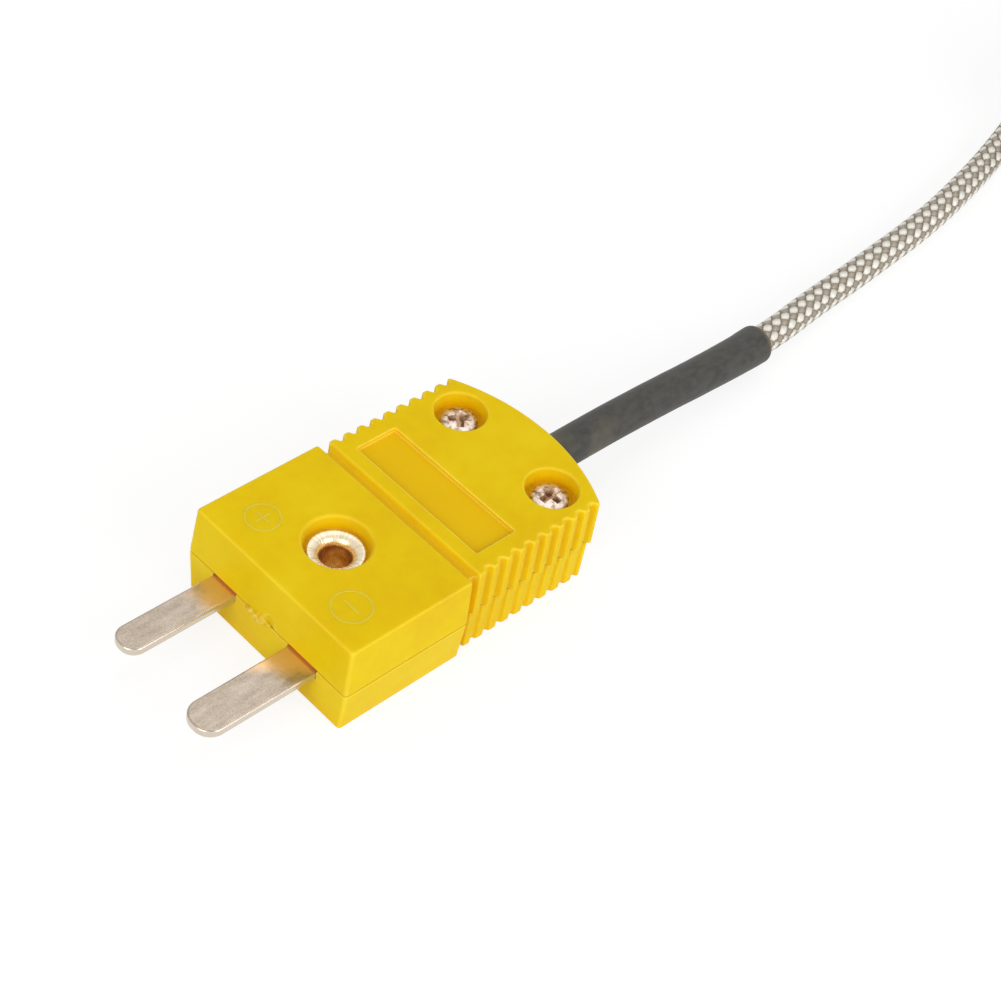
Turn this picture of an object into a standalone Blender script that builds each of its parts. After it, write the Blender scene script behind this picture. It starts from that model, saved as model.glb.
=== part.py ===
"""Miniature flat-pin plug on an overbraided two-core lead that ends in a crimped sensing sheath.

The plug lies on its underside. +Z is up, the pins point along -Y and the lead leaves along +Y. The origin is
on the surface below the middle of the plug, halfway between the pin tips and the back of the body.
"""

import math

import bmesh
import bpy
from mathutils import Matrix, Vector

MM = 0.001

# Plug body, as the two halves close on each other
BODY_LENGTH = 25.4 * MM
BODY_HEIGHT = 7.6 * MM
NOSE_WIDTH = 16.3 * MM
GRIP_WIDTH = 15.66 * MM
LOWER_GRIP_WIDTH = 15.14 * MM
NOSE_LENGTH = 10.875 * MM
NOSE_CORNER_RADIUS = 0.3 * MM
BACK_ARC_RADIUS = 16.1 * MM
BACK_SHELF = 0.2 * MM
PARTING_HEIGHT = 3.6 * MM
PARTING_GAP = 0.3 * MM
PARTING_RADIUS = 0.08 * MM
EDGE_RADIUS = 0.17 * MM
UPPER_SIDE_DRAFT = 0.18 * MM
UPPER_FRONT_DRAFT = 0.25 * MM
LOWER_SIDE_DRAFT = 0.27 * MM
LOWER_FRONT_DRAFT = 0.10 * MM
GRIP_DRAFT = 0.04 * MM

# Waist groove between the nose and the grip
WAIST_WIDTH = 0.92 * MM
WAIST_FLOOR_WIDTH = 0.5 * MM
WAIST_SIDE_DEPTH = 0.5 * MM
WAIST_FACE_DEPTH = 0.45 * MM

# Gullets between the finger ribs on each side of the grip
GULLET_PITCH = 1.25 * MM
FIRST_GULLET_BEHIND_WAIST = 0.9 * MM
LAST_GULLET_BEFORE_CORNER = 0.55 * MM
GULLET_FLOOR = 0.36 * MM
GULLET_FLANK_SLOPE = 0.6
UPPER_GULLET_DEPTH = 0.4 * MM
LOWER_GULLET_DEPTH = 0.25 * MM

# Label recess in the top face
LABEL_FROM_SIDE = 1.68 * MM
LABEL_LENGTH = 3.6 * MM
LABEL_DEPTH = 0.35 * MM
LABEL_FRONT_BEHIND_WAIST = 1.13 * MM
LABEL_CORNER_RADIUS = 0.15 * MM

# Flat pins
POSITIVE_PIN_X = -4.31 * MM
NEGATIVE_PIN_X = 3.76 * MM
POSITIVE_PIN_WIDTH = 2.42 * MM
NEGATIVE_PIN_WIDTH = 2.95 * MM
PIN_THICKNESS = 0.7 * MM
PIN_EXPOSED = 8.85 * MM
PIN_EDGE_RADIUS = 0.15 * MM
PIN_TIP_ROUNDING = 0.92
PAD_WIDTH = 4.0 * MM
PAD_LENGTH = 6.0 * MM
PAD_CORNER = 0.6 * MM

# Terminal pockets behind the nose
TERMINAL_X = 3.96 * MM
POCKET_INNER_X = 0.9 * MM
POCKET_FRONT_BEHIND_NOSE_FACE = 10.3 * MM
POCKET_LENGTH = 8.6 * MM
POCKET_CORNER_RADIUS = 0.5 * MM

# Terminal screws, washers and wires, all stacked on the pin tails
SMALL_GAP = 0.2 * MM
TERMINAL_SHANK_RADIUS = 0.8 * MM
TERMINAL_HEAD_RADIUS = 1.5 * MM
TERMINAL_HEAD_HEIGHT = 0.9 * MM
TERMINAL_HEAD_CHAMFER = 0.15 * MM
TERMINAL_SLOT_WIDTH = 0.4 * MM
TERMINAL_SLOT_DEPTH = 0.45 * MM
WASHER_RADIUS = 1.9 * MM
WASHER_THICKNESS = 0.35 * MM
SHANK_HOLE_CLEARANCE = 0.3 * MM
SCREW_WELL_CLEARANCE = 0.5 * MM
SCREW_WELL_FLOOR = 1.0 * MM
CONDUCTOR_RADIUS = 0.25 * MM
INSULATION_RADIUS = 0.5 * MM
HOOK_LEAD_IN = 1.2 * MM

# Nose eyelet and its counterbores
EYELET_BEHIND_NOSE_FACE = 6.075 * MM
EYELET_BORE_RADIUS = 1.25 * MM
EYELET_WALL = 0.25 * MM
EYELET_FLANGE_RADIUS = 2.15 * MM
EYELET_FLARE_START = 0.25 * MM
EYELET_COUNTERBORE_RADIUS = 2.55 * MM
EYELET_UPPER_DEPTH = 1.55 * MM
EYELET_LOWER_DEPTH = 1.3 * MM

# Cover screws, their counterbores and their threaded inserts
COVER_SCREW_FROM_SIDE = 3.13 * MM
COVER_SCREW_FROM_BACK = 3.825 * MM
COVER_HEAD_RADIUS = 1.5 * MM
COVER_HEAD_HEIGHT = 1.05 * MM
COVER_HEAD_RIM = 0.5 * MM
COVER_HEAD_BELOW_TOP = 1.0 * MM
COVER_SHANK_RADIUS = 0.8 * MM
COVER_TIP_HEIGHT = 1.4 * MM
COVER_COUNTERBORE_RADIUS = 2.05 * MM
COUNTERBORE_RIM = 0.12 * MM
CROSS_WIDTH = 0.34 * MM
CROSS_LENGTH = 1.7 * MM
CROSS_DEPTH = 0.6 * MM
INSERT_RADIUS = 1.6 * MM
INSERT_BORE_RADIUS = 1.05 * MM
INSERT_GROOVE_DEPTH = 0.15 * MM
INSERT_GROOVE_WIDTH = 0.5 * MM
INSERT_SEAT_HEIGHT = 0.9 * MM

# Locating pegs under the upper half
PEG_RADIUS = 0.5 * MM
PEG_LENGTH = 1.1 * MM
PEG_FROM_SIDE = 1.3 * MM
PEG_BEHIND_NOSE_FACE = 2.4 * MM

# Lead passage through the back of the body
PASSAGE_HALF_WIDTH = 2.0 * MM
PASSAGE_LENGTH = 5.2 * MM
PASSAGE_OVERLAP = 1.4 * MM
PASSAGE_ROOF = 2.0 * MM

# Clearance that pieces keep from each other, and how far a cutter runs past the face that it opens
FIT = 0.3 * MM
OVERRUN = 1.0 * MM

# Lead, its shrink sleeve, its hank and the sheath on its end, placed from the back of the plug
LEAD_DIAMETER = 2.4 * MM
LEAD_EXIT_HEIGHT = 3.8 * MM
SLEEVE_RADIUS = 1.46 * MM
SLEEVE_END_RADIUS = 1.6 * MM
SLEEVE_INSIDE = 3.3 * MM
SLEEVE_OUTSIDE = 26.1 * MM
LEAD_OPEN_LENGTH = 71.0 * MM
LEAD_POINT_SPACING = 2.4 * LEAD_DIAMETER
SLEEVE_POINT_SPACING = 1.3 * LEAD_DIAMETER
HANK_BEHIND_BACK = 80.7 * MM
HANK_RUN = 47.5 * MM
HANK_FOLD_RADIUS = 3.0 * LEAD_DIAMETER
HANK_COLUMNS = 2
HANK_LAYERS = 3
HANK_LOOSENESS = 0.3 * MM
TIE_WIDTH = 4.5 * MM
TIE_THICKNESS = 0.5 * MM
TIE_ALONG_RUN = 24.0 * MM
TIE_CORNER_RADIUS = 1.3 * MM
SHEATH_RADIUS = 2.0 * MM
SHEATH_LENGTH = 30.0 * MM
SHEATH_X = 2.0 * MM
SHEATH_BEHIND_BACK = 108.7 * MM
TAIL_BEHIND_BACK = 116.7 * MM
SHEATH_MOUTH_CHAMFER = 0.2 * MM
FIRST_CRIMP = 1.6 * MM
CRIMP_PITCH = 2.6 * MM
CRIMP_COUNT = 2
CRIMP_DEPTH = 0.25 * MM
CRIMP_WIDTH = 1.2 * MM
CRIMP_SHOULDER = 0.3 * MM

# Centrelines in millimetres. The lead runs from inside the plug to the hank, and its tail from the hank to the
# sheath, both with Y from the back of the plug. The covered cores have Y from the terminal screws.
LEAD_ROUTE = [
    (0.0, -3.3, 3.8),
    (0.0, 0.0, 3.8),
    (0.0, 3.5, 3.83),
    (0.0, 7.5, 3.8),
    (-0.07, 12.7, 3.47),
    (-0.2, 18.0, 2.93),
    (-0.38, 22.5, 2.46),
    (-0.62, 26.1, 2.13),
    (-0.98, 29.6, 1.85),
    (-1.42, 32.8, 1.62),
    (-1.82, 36.0, 1.38),
    (-2.2, 40.1, 1.2),
    (-2.6, 44.7, 1.2),
    (-3.02, 49.2, 1.2),
    (-3.66, 53.9, 1.2),
    (-4.48, 58.3, 1.2),
    (-5.4, 62.5, 1.2),
    (-6.6, 67.1, 1.2),
    (-7.75, 71.1, 1.2),
    (-8.7, 75.2, 1.2),
    (-9.35, 79.4, 1.2),
    (-9.6, 84.0, 1.2),
]
CORE_ROUTE = [
    (0.62, 7.2, 3.78),
    (0.66, 6.1, 3.76),
    (0.95, 5.0, 3.78),
    (1.7, 4.0, 3.86),
    (2.35, 3.25, 3.9),
]
TAIL_ROUTE = [
    (7.2, 128.2, 6.1),
    (6.9, 124.2, 6.08),
    (5.9, 120.2, 5.75),
    (4.4, 116.7, 4.6),
    (3.1, 113.6, 3.3),
    (2.3, 111.1, 2.4),
    (2.0, 108.7, 2.0),
]

# Where the stations along the body fall
FRONT_Y = (PIN_EXPOSED - BODY_LENGTH) / 2
BACK_Y = FRONT_Y + BODY_LENGTH
WAIST_Y = FRONT_Y + NOSE_LENGTH
GRIP_Y = WAIST_Y + WAIST_WIDTH
BACK_ARC_Y = BACK_Y - BACK_ARC_RADIUS
BACK_CORNER_Y = BACK_ARC_Y + math.sqrt(BACK_ARC_RADIUS**2 - (GRIP_WIDTH / 2) ** 2)
FIRST_GULLET_Y = GRIP_Y + FIRST_GULLET_BEHIND_WAIST
GULLET_COUNT = int((BACK_CORNER_Y - LAST_GULLET_BEFORE_CORNER - FIRST_GULLET_Y) / GULLET_PITCH) + 1
LABEL_HALF_WIDTH = GRIP_WIDTH / 2 - LABEL_FROM_SIDE
UPPER_FACE_Z = PARTING_HEIGHT + PARTING_GAP / 2
LOWER_FACE_Z = PARTING_HEIGHT - PARTING_GAP / 2
PIN_TOP_Z = LOWER_FACE_Z
PIN_BOTTOM_Z = PIN_TOP_Z - PIN_THICKNESS
POCKET_FRONT_Y = FRONT_Y + POCKET_FRONT_BEHIND_NOSE_FACE
POCKET_BACK_Y = POCKET_FRONT_Y + POCKET_LENGTH
POCKET_OUTER_X = TERMINAL_X + PAD_WIDTH / 2 + FIT
POCKET_FLOOR_Z = PIN_BOTTOM_Z - FIT
TERMINAL_Y = (POCKET_FRONT_Y + POCKET_BACK_Y) / 2
WIRE_Z = PIN_TOP_Z + SMALL_GAP + CONDUCTOR_RADIUS
WASHER_Z = WIRE_Z + CONDUCTOR_RADIUS + SMALL_GAP
TERMINAL_HEAD_Z = WASHER_Z + WASHER_THICKNESS + SMALL_GAP
TERMINAL_HEAD_TOP_Z = TERMINAL_HEAD_Z + TERMINAL_HEAD_HEIGHT
POCKET_TOP_Z = TERMINAL_HEAD_TOP_Z + FIT
EYELET_Y = FRONT_Y + EYELET_BEHIND_NOSE_FACE
EYELET_RADIUS = EYELET_BORE_RADIUS + EYELET_WALL
COVER_SCREW_X = GRIP_WIDTH / 2 - COVER_SCREW_FROM_SIDE
COVER_SCREW_Y = BACK_Y - COVER_SCREW_FROM_BACK
COVER_HEAD_TOP_Z = BODY_HEIGHT - COVER_HEAD_BELOW_TOP
COVER_HEAD_Z = COVER_HEAD_TOP_Z - COVER_HEAD_HEIGHT
PASSAGE_FRONT_Y = POCKET_BACK_Y - PASSAGE_OVERLAP
PASSAGE_BACK_Y = PASSAGE_FRONT_Y + PASSAGE_LENGTH
PEG_X = NOSE_WIDTH / 2 - PEG_FROM_SIDE
PEG_Y = FRONT_Y + PEG_BEHIND_NOSE_FACE
LEAD_RADIUS = LEAD_DIAMETER / 2
HANK_INNER_RADIUS = HANK_FOLD_RADIUS - LEAD_RADIUS
HANK_OUTER_RADIUS = HANK_INNER_RADIUS + HANK_COLUMNS * LEAD_DIAMETER
HANK_HEIGHT = HANK_LAYERS * LEAD_DIAMETER + HANK_LOOSENESS
HANK_NEAR_Y = BACK_Y + HANK_BEHIND_BACK
TIE_Y = HANK_NEAR_Y + TIE_ALONG_RUN

ROUND_STEPS = 32
SMALL_ROUND_STEPS = 20
EDGE_STEPS = 3


def arc(centre_x, centre_y, radius, start, end, steps):
    """Points along an arc, from one angle in degrees to another."""
    angles = [math.radians(start + (end - start) * i / steps) for i in range(steps + 1)]
    return [(centre_x + radius * math.cos(a), centre_y + radius * math.sin(a)) for a in angles]


def rounded_rectangle(x0, y0, x1, y1, radius, steps=4):
    """A rectangle with round corners, counterclockwise."""
    return (
        arc(x1 - radius, y0 + radius, radius, -90, 0, steps)
        + arc(x1 - radius, y1 - radius, radius, 0, 90, steps)
        + arc(x0 + radius, y1 - radius, radius, 90, 180, steps)
        + arc(x0 + radius, y0 + radius, radius, 180, 270, steps)
    )


def racetrack(near_y, far_y, radius, steps=12):
    """Two half circles joined by straight runs, counterclockwise, centred on x = 0."""
    return arc(0, far_y, radius, 0, 180, steps) + arc(0, near_y, radius, 180, 360, steps)


def rounded_edge(radius, steps=EDGE_STEPS):
    """A quarter round as (depth below the face, inset from the side) pairs, from the side up to the face."""
    angles = [math.pi / 2 * i / steps for i in range(steps + 1)]
    return [(radius * (1 - math.sin(a)), radius * (1 - math.cos(a))) for a in angles]


def material(name, colour, roughness, metallic=0.0):
    """A Principled surface in one colour."""
    surface = bpy.data.materials.new(name)
    surface.use_nodes = True
    shader = surface.node_tree.nodes["Principled BSDF"]
    shader.inputs["Base Color"].default_value = (*colour, 1.0)
    shader.inputs["Roughness"].default_value = roughness
    shader.inputs["Metallic"].default_value = metallic
    return surface


def place(name, shape, surface=None, smooth_angle=None):
    """Turns a bmesh into a named object in the scene."""
    mesh = bpy.data.meshes.new(name)
    bmesh.ops.recalc_face_normals(shape, faces=shape.faces)
    shape.to_mesh(mesh)
    shape.free()
    if smooth_angle:
        mesh.shade_smooth()
        mesh.set_sharp_from_angle(angle=math.radians(smooth_angle))
    piece = bpy.data.objects.new(name, mesh)
    if surface:
        mesh.materials.append(surface)
    bpy.context.scene.collection.objects.link(piece)
    return piece


def stack(shape, rings):
    """Joins closed rings of points, which all have as many points, and caps both ends."""
    loops = [[shape.verts.new(point) for point in ring] for ring in rings]
    for lower, upper in zip(loops, loops[1:]):
        for i in range(len(lower)):
            j = (i + 1) % len(lower)
            shape.faces.new((lower[i], lower[j], upper[j], upper[i]))
    shape.faces.new(list(reversed(loops[0])))
    shape.faces.new(loops[-1])


def at_height(outline, z):
    return [(x, y, z) for x, y in outline]


def add_prism(shape, outline, z0, z1):
    """An upright prism on a plan outline."""
    stack(shape, [at_height(outline, z0), at_height(outline, z1)])


def add_round(shape, x, y, radius, z0, z1, steps=ROUND_STEPS):
    """An upright cylinder."""
    outline = arc(x, y, radius, 0, 360, steps)[:-1]
    add_prism(shape, outline, z0, z1)


def add_turned(shape, profile, steps, turn=Matrix.Identity(4), closed=False):
    """A turned solid about Z from (radius, z) points. A closed profile makes a ring with a bore."""
    loops = []
    for radius, z in profile:
        if radius == 0:
            loops.append([shape.verts.new(turn @ Vector((0, 0, z)))])
        else:
            outline = arc(0, 0, radius, 0, 360, steps)[:-1]
            loops.append([shape.verts.new(turn @ Vector((x, y, z))) for x, y in outline])
    pairs = list(zip(loops, loops[1:]))
    if closed:
        pairs.append((loops[-1], loops[0]))
    for lower, upper in pairs:
        for i in range(steps):
            j = (i + 1) % steps
            if len(lower) == 1:
                shape.faces.new((lower[0], upper[j], upper[i]))
            elif len(upper) == 1:
                shape.faces.new((lower[i], lower[j], upper[0]))
            else:
                shape.faces.new((lower[i], lower[j], upper[j], upper[i]))


def add_ring_prism(shape, outer, inner, lift):
    """A frame between two outlines of as many points, swept between two planes that lift() places."""
    faces = shape.faces
    loops = [[shape.verts.new(lift(p, end)) for p in line] for end in (0, 1) for line in (outer, inner)]
    outer0, inner0, outer1, inner1 = loops
    for i in range(len(outer)):
        j = (i + 1) % len(outer)
        faces.new((outer0[i], outer0[j], outer1[j], outer1[i]))
        faces.new((inner0[j], inner0[i], inner1[i], inner1[j]))
        faces.new((outer0[j], outer0[i], inner0[i], inner0[j]))
        faces.new((outer1[i], outer1[j], inner1[j], inner1[i]))


def cutter(name, shape):
    """A hidden tool body for a Boolean."""
    piece = place(name, shape)
    piece.hide_render = True
    piece.display_type = "WIRE"
    return piece


def combine(piece, tool, operation="DIFFERENCE"):
    """Leaves a live Boolean on the piece."""
    step = piece.modifiers.new(tool.name, "BOOLEAN")
    step.operation = operation
    step.solver = "EXACT"
    step.object = tool


def smooth_line(route, base_y):
    """Finely spaced points on a smooth curve through a route in millimetres, with Y from base_y."""
    knots = [Vector(p) * MM + Vector((0, base_y, 0)) for p in route]
    ends = [2 * knots[0] - knots[1]] + knots + [2 * knots[-1] - knots[-2]]
    fine = []
    for a, b, c, d in zip(ends, ends[1:], ends[2:], ends[3:]):
        for i in range(16):
            t = i / 16
            bend = (2 * a - 5 * b + 4 * c - d) * t**2 + (3 * b - a - 3 * c + d) * t**3
            fine.append(0.5 * (2 * b + (c - a) * t + bend))
    return fine + [knots[-1]]


def between(line, y0, y1, spacing):
    """Evenly spaced points on a line that runs along Y, from y0 to y1 in either direction."""
    if line[0].y > line[-1].y:
        line = list(reversed(line))
    low, high = max(min(y0, y1), line[0].y), min(max(y0, y1), line[-1].y)
    kept = []
    for a, b in zip(line, line[1:]):
        for edge in (low, high):
            if a.y <= edge < b.y or (edge == high == b.y):
                kept.append(a.lerp(b, (edge - a.y) / (b.y - a.y)))
        if low < b.y < high:
            kept.append(b)
    kept.sort(key=lambda p: p.y)
    walked = [0.0]
    for a, b in zip(kept, kept[1:]):
        walked.append(walked[-1] + (b - a).length)
    count = max(2, round(walked[-1] / spacing))
    points = [kept[0]]
    for i in range(1, count):
        target = walked[-1] * i / count
        k = next(j for j, distance in enumerate(walked) if distance >= target)
        points.append(kept[k - 1].lerp(kept[k], (target - walked[k - 1]) / (walked[k] - walked[k - 1])))
    points.append(kept[-1])
    return points if y0 < y1 else list(reversed(points))


def tube(name, points, radius, surface, end_scale=1.0):
    """A round cord along points, as a curve with filled caps. end_scale widens its last points."""
    curve = bpy.data.curves.new(name, "CURVE")
    curve.dimensions = "3D"
    curve.bevel_depth = radius
    curve.bevel_resolution = 2
    curve.use_fill_caps = True
    spline = curve.splines.new("POLY")
    spline.points.add(len(points) - 1)
    for i, point in enumerate(points):
        spline.points[i].co = (*point, 1.0)
        late = max(0.0, (i - len(points) + 4) / 3)
        spline.points[i].radius = 1.0 + (end_scale - 1.0) * late
    curve.materials.append(surface)
    piece = bpy.data.objects.new(name, curve)
    bpy.context.scene.collection.objects.link(piece)
    return piece


def side_points(nose_half, grip_half, front_y, back_inset, gullet_depth, inset):
    """The right side of the body in plan, from the front corner round to the middle of the back."""
    radius = NOSE_CORNER_RADIUS
    points = arc(nose_half - radius, front_y + radius, radius, -90, 0, 5)
    waist_half = grip_half - WAIST_SIDE_DEPTH + inset
    slope = (WAIST_WIDTH - WAIST_FLOOR_WIDTH) / 2
    points += [
        (nose_half, WAIST_Y - inset),
        (waist_half, WAIST_Y + slope - inset),
        (waist_half, GRIP_Y - slope + inset),
        (grip_half, GRIP_Y + inset),
    ]
    floor = GULLET_FLOOR / 2
    mouth = floor + GULLET_FLANK_SLOPE * gullet_depth
    for k in range(GULLET_COUNT):
        y = FIRST_GULLET_Y + k * GULLET_PITCH
        points += [
            (grip_half, y - mouth),
            (grip_half - gullet_depth, y - floor),
            (grip_half - gullet_depth, y + floor),
            (grip_half, y + mouth),
        ]
    back_radius = BACK_ARC_RADIUS - back_inset
    corner = math.degrees(math.acos(grip_half / back_radius))
    return points + arc(0, BACK_ARC_Y, back_radius, corner, 90, 10)


def body_ring(z, nose_half, grip_half, front_y, back_inset, gullet_depth, inset=0.0):
    """The whole plan outline at one height, with every edge drawn in by inset."""
    right = side_points(
        nose_half - inset, grip_half - inset, front_y + inset, back_inset + inset, gullet_depth, inset
    )
    left = [(-x, y) for x, y in reversed(right[:-1])]
    return at_height(right + left, z)


def half_body(name, parting_z, face_z, at_parting, at_face, yellow):
    """One moulded half with rounded edges, between its parting face and its outer face."""
    outward = math.copysign(1.0, face_z - parting_z)
    rings = [
        body_ring(parting_z + outward * depth, *at_parting, inset=inset)
        for depth, inset in reversed(rounded_edge(PARTING_RADIUS))
    ]
    rings += [
        body_ring(face_z - outward * depth, *at_face, inset=inset)
        for depth, inset in rounded_edge(EDGE_RADIUS)
    ]
    shape = bmesh.new()
    stack(shape, rings)
    return place(name, shape, yellow)


def upper_half(yellow):
    """Upper half of the body, widest at the parting line and drawn in towards the top face."""
    nose, grip = NOSE_WIDTH / 2, GRIP_WIDTH / 2
    low = (nose, grip, FRONT_Y, 0.0, UPPER_GULLET_DEPTH)
    high = (
        nose - UPPER_SIDE_DRAFT,
        grip - GRIP_DRAFT,
        FRONT_Y + UPPER_FRONT_DRAFT,
        GRIP_DRAFT,
        UPPER_GULLET_DEPTH,
    )
    return half_body("top_shell", UPPER_FACE_Z, BODY_HEIGHT, low, high, yellow)


def lower_half(yellow):
    """Lower half of the body. Its grip is narrower than the upper half's, which leaves a small shelf."""
    nose, grip = NOSE_WIDTH / 2, LOWER_GRIP_WIDTH / 2
    high = (nose, grip, FRONT_Y, BACK_SHELF, LOWER_GULLET_DEPTH)
    low = (
        nose - LOWER_SIDE_DRAFT,
        grip - GRIP_DRAFT,
        FRONT_Y + LOWER_FRONT_DRAFT,
        BACK_SHELF + GRIP_DRAFT,
        LOWER_GULLET_DEPTH,
    )
    return half_body("bottom_shell", LOWER_FACE_Z, 0.0, high, low, yellow)


def waist_cutter(name, face_z, outward):
    """A trapezoid groove across one face of the body, in line with the notches in its sides."""
    deep = face_z - outward * WAIST_FACE_DEPTH
    slope = (WAIST_WIDTH - WAIST_FLOOR_WIDTH) / 2
    rise = slope / WAIST_FACE_DEPTH
    clear = face_z + outward * OVERRUN
    flare = rise * (WAIST_FACE_DEPTH + OVERRUN)
    section = [
        (WAIST_Y + slope, deep),
        (GRIP_Y - slope, deep),
        (GRIP_Y - slope + flare, clear),
        (WAIST_Y + slope - flare, clear),
    ]
    shape = bmesh.new()
    stack(shape, [[(x, y, z) for y, z in section] for x in (-NOSE_WIDTH, NOSE_WIDTH)])
    return cutter(name, shape)


def both_sides(add):
    """One cutter shape made on the positive and on the negative side."""
    shape = bmesh.new()
    for side in (-1, 1):
        add(shape, side)
    return shape


def pocket_cutter(name, z0, z1):
    """The two terminal pockets, with the wall between them left standing."""

    def add(shape, side):
        low, high = sorted((side * POCKET_INNER_X, side * POCKET_OUTER_X))
        outline = rounded_rectangle(low, POCKET_FRONT_Y, high, POCKET_BACK_Y, POCKET_CORNER_RADIUS)
        add_prism(shape, outline, z0, z1)

    return cutter(name, both_sides(add))


def passage_cutter(name, z0, z1):
    """The space where the two cores part, between the cover screws."""
    outline = rounded_rectangle(
        -PASSAGE_HALF_WIDTH,
        PASSAGE_FRONT_Y,
        PASSAGE_HALF_WIDTH,
        PASSAGE_BACK_Y,
        POCKET_CORNER_RADIUS,
    )
    shape = bmesh.new()
    add_prism(shape, outline, z0, z1)
    return cutter(name, shape)


def sleeve_bore():
    """The round passage of the shrink sleeve through the back wall, half in each shell."""
    start = Vector((0, PASSAGE_BACK_Y - OVERRUN, LEAD_EXIT_HEIGHT))
    turn = Matrix.Translation(start) @ Matrix.Rotation(math.radians(-90), 4, "X")
    depth = BACK_Y - PASSAGE_BACK_Y + 2 * OVERRUN
    radius = SLEEVE_RADIUS + FIT
    shape = bmesh.new()
    add_turned(shape, [(0, 0), (radius, 0), (radius, depth), (0, depth)], ROUND_STEPS, turn)
    return cutter("sleeve_bore_cutter", shape)


def counterbore_mouth(radius):
    """The top end of a counterbore's cutter, which opens into the broken edge round its mouth."""
    return [
        (radius, BODY_HEIGHT - COUNTERBORE_RIM),
        (radius + COUNTERBORE_RIM, BODY_HEIGHT),
        (radius + COUNTERBORE_RIM, BODY_HEIGHT + OVERRUN),
        (0, BODY_HEIGHT + OVERRUN),
    ]


def eyelet_bore():
    """The eyelet's through hole with a counterbore in both faces."""
    turn = Matrix.Translation((0, EYELET_Y, 0))
    hole = EYELET_RADIUS + FIT
    profile = [
        (0, -OVERRUN),
        (EYELET_COUNTERBORE_RADIUS, -OVERRUN),
        (EYELET_COUNTERBORE_RADIUS, EYELET_LOWER_DEPTH),
        (hole, EYELET_LOWER_DEPTH),
        (hole, BODY_HEIGHT - EYELET_UPPER_DEPTH),
        (EYELET_COUNTERBORE_RADIUS, BODY_HEIGHT - EYELET_UPPER_DEPTH),
    ]
    profile += counterbore_mouth(EYELET_COUNTERBORE_RADIUS)
    shape = bmesh.new()
    add_turned(shape, profile, ROUND_STEPS, turn)
    return cutter("eyelet_bore_cutter", shape)


def cover_screw_bore():
    """Head counterbore and shank hole in the upper half, insert seat in the lower half, on both sides."""

    def add(shape, side):
        turn = Matrix.Translation((side * COVER_SCREW_X, COVER_SCREW_Y, 0))
        hole = COVER_SHANK_RADIUS + SHANK_HOLE_CLEARANCE
        seat = INSERT_RADIUS + FIT
        profile = [
            (0, INSERT_SEAT_HEIGHT),
            (seat, INSERT_SEAT_HEIGHT),
            (seat, PARTING_HEIGHT),
            (hole, PARTING_HEIGHT),
            (hole, COVER_HEAD_Z - FIT),
            (COVER_COUNTERBORE_RADIUS, COVER_HEAD_Z - FIT),
        ]
        profile += counterbore_mouth(COVER_COUNTERBORE_RADIUS)
        add_turned(shape, profile, ROUND_STEPS, turn)

    return cutter("cover_screw_bore_cutter", both_sides(add))


def label_cutter():
    """The shallow recess across the top of the grip."""
    front = GRIP_Y + LABEL_FRONT_BEHIND_WAIST
    back = front + LABEL_LENGTH
    outline = rounded_rectangle(-LABEL_HALF_WIDTH, front, LABEL_HALF_WIDTH, back, LABEL_CORNER_RADIUS)
    shape = bmesh.new()
    add_prism(shape, outline, BODY_HEIGHT - LABEL_DEPTH, BODY_HEIGHT + OVERRUN)
    return cutter("label_cutter", shape)


def pin_slot_cutter():
    """Slots in the lower half's front wall that the two blades lie in."""

    def add(shape, side):
        middle, half = blade(side)
        low, high = middle - half - FIT, middle + half + FIT
        outline = [
            (low, FRONT_Y - OVERRUN),
            (high, FRONT_Y - OVERRUN),
            (high, POCKET_FRONT_Y + OVERRUN),
            (low, POCKET_FRONT_Y + OVERRUN),
        ]
        add_prism(shape, outline, POCKET_FLOOR_Z, BODY_HEIGHT)

    return cutter("pin_slot_cutter", both_sides(add))


def screw_well_cutter():
    """Blind wells under the pin tails for the ends of the terminal screws."""

    def add(shape, side):
        radius, floor = TERMINAL_SHANK_RADIUS + SCREW_WELL_CLEARANCE, SCREW_WELL_FLOOR
        add_round(shape, side * TERMINAL_X, TERMINAL_Y, radius, floor, PARTING_HEIGHT, SMALL_ROUND_STEPS)

    return cutter("screw_well_cutter", both_sides(add))


def peg_tool(name, radius, z0, z1):
    """Locating pegs near the front corners, or the blind holes that take them."""

    def add(shape, side):
        add_round(shape, side * PEG_X, PEG_Y, radius, z0, z1, SMALL_ROUND_STEPS)

    return cutter(name, both_sides(add))


def shells(yellow):
    """Both moulded halves with their pockets, bores, recess and grooves."""
    top, bottom = upper_half(yellow), lower_half(yellow)
    peg_end = UPPER_FACE_Z - PEG_LENGTH
    combine(top, peg_tool("peg_tool", PEG_RADIUS, peg_end, UPPER_FACE_Z + OVERRUN), "UNION")
    for tool in (sleeve_bore(), eyelet_bore(), cover_screw_bore()):
        combine(top, tool)
        combine(bottom, tool)
    combine(top, waist_cutter("top_waist_cutter", BODY_HEIGHT, 1))
    combine(top, label_cutter())
    combine(top, pocket_cutter("top_pocket_cutter", PARTING_HEIGHT, POCKET_TOP_Z))
    combine(top, passage_cutter("top_passage_cutter", PARTING_HEIGHT, BODY_HEIGHT - PASSAGE_ROOF))
    combine(bottom, waist_cutter("bottom_waist_cutter", 0.0, -1))
    combine(bottom, pin_slot_cutter())
    combine(bottom, pocket_cutter("bottom_pocket_cutter", POCKET_FLOOR_Z, BODY_HEIGHT))
    passage_floor = LEAD_EXIT_HEIGHT - SLEEVE_RADIUS - FIT
    combine(bottom, passage_cutter("bottom_passage_cutter", passage_floor, BODY_HEIGHT))
    combine(bottom, screw_well_cutter())
    combine(bottom, peg_tool("peg_hole_cutter", PEG_RADIUS + FIT, peg_end - FIT, BODY_HEIGHT))


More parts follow.
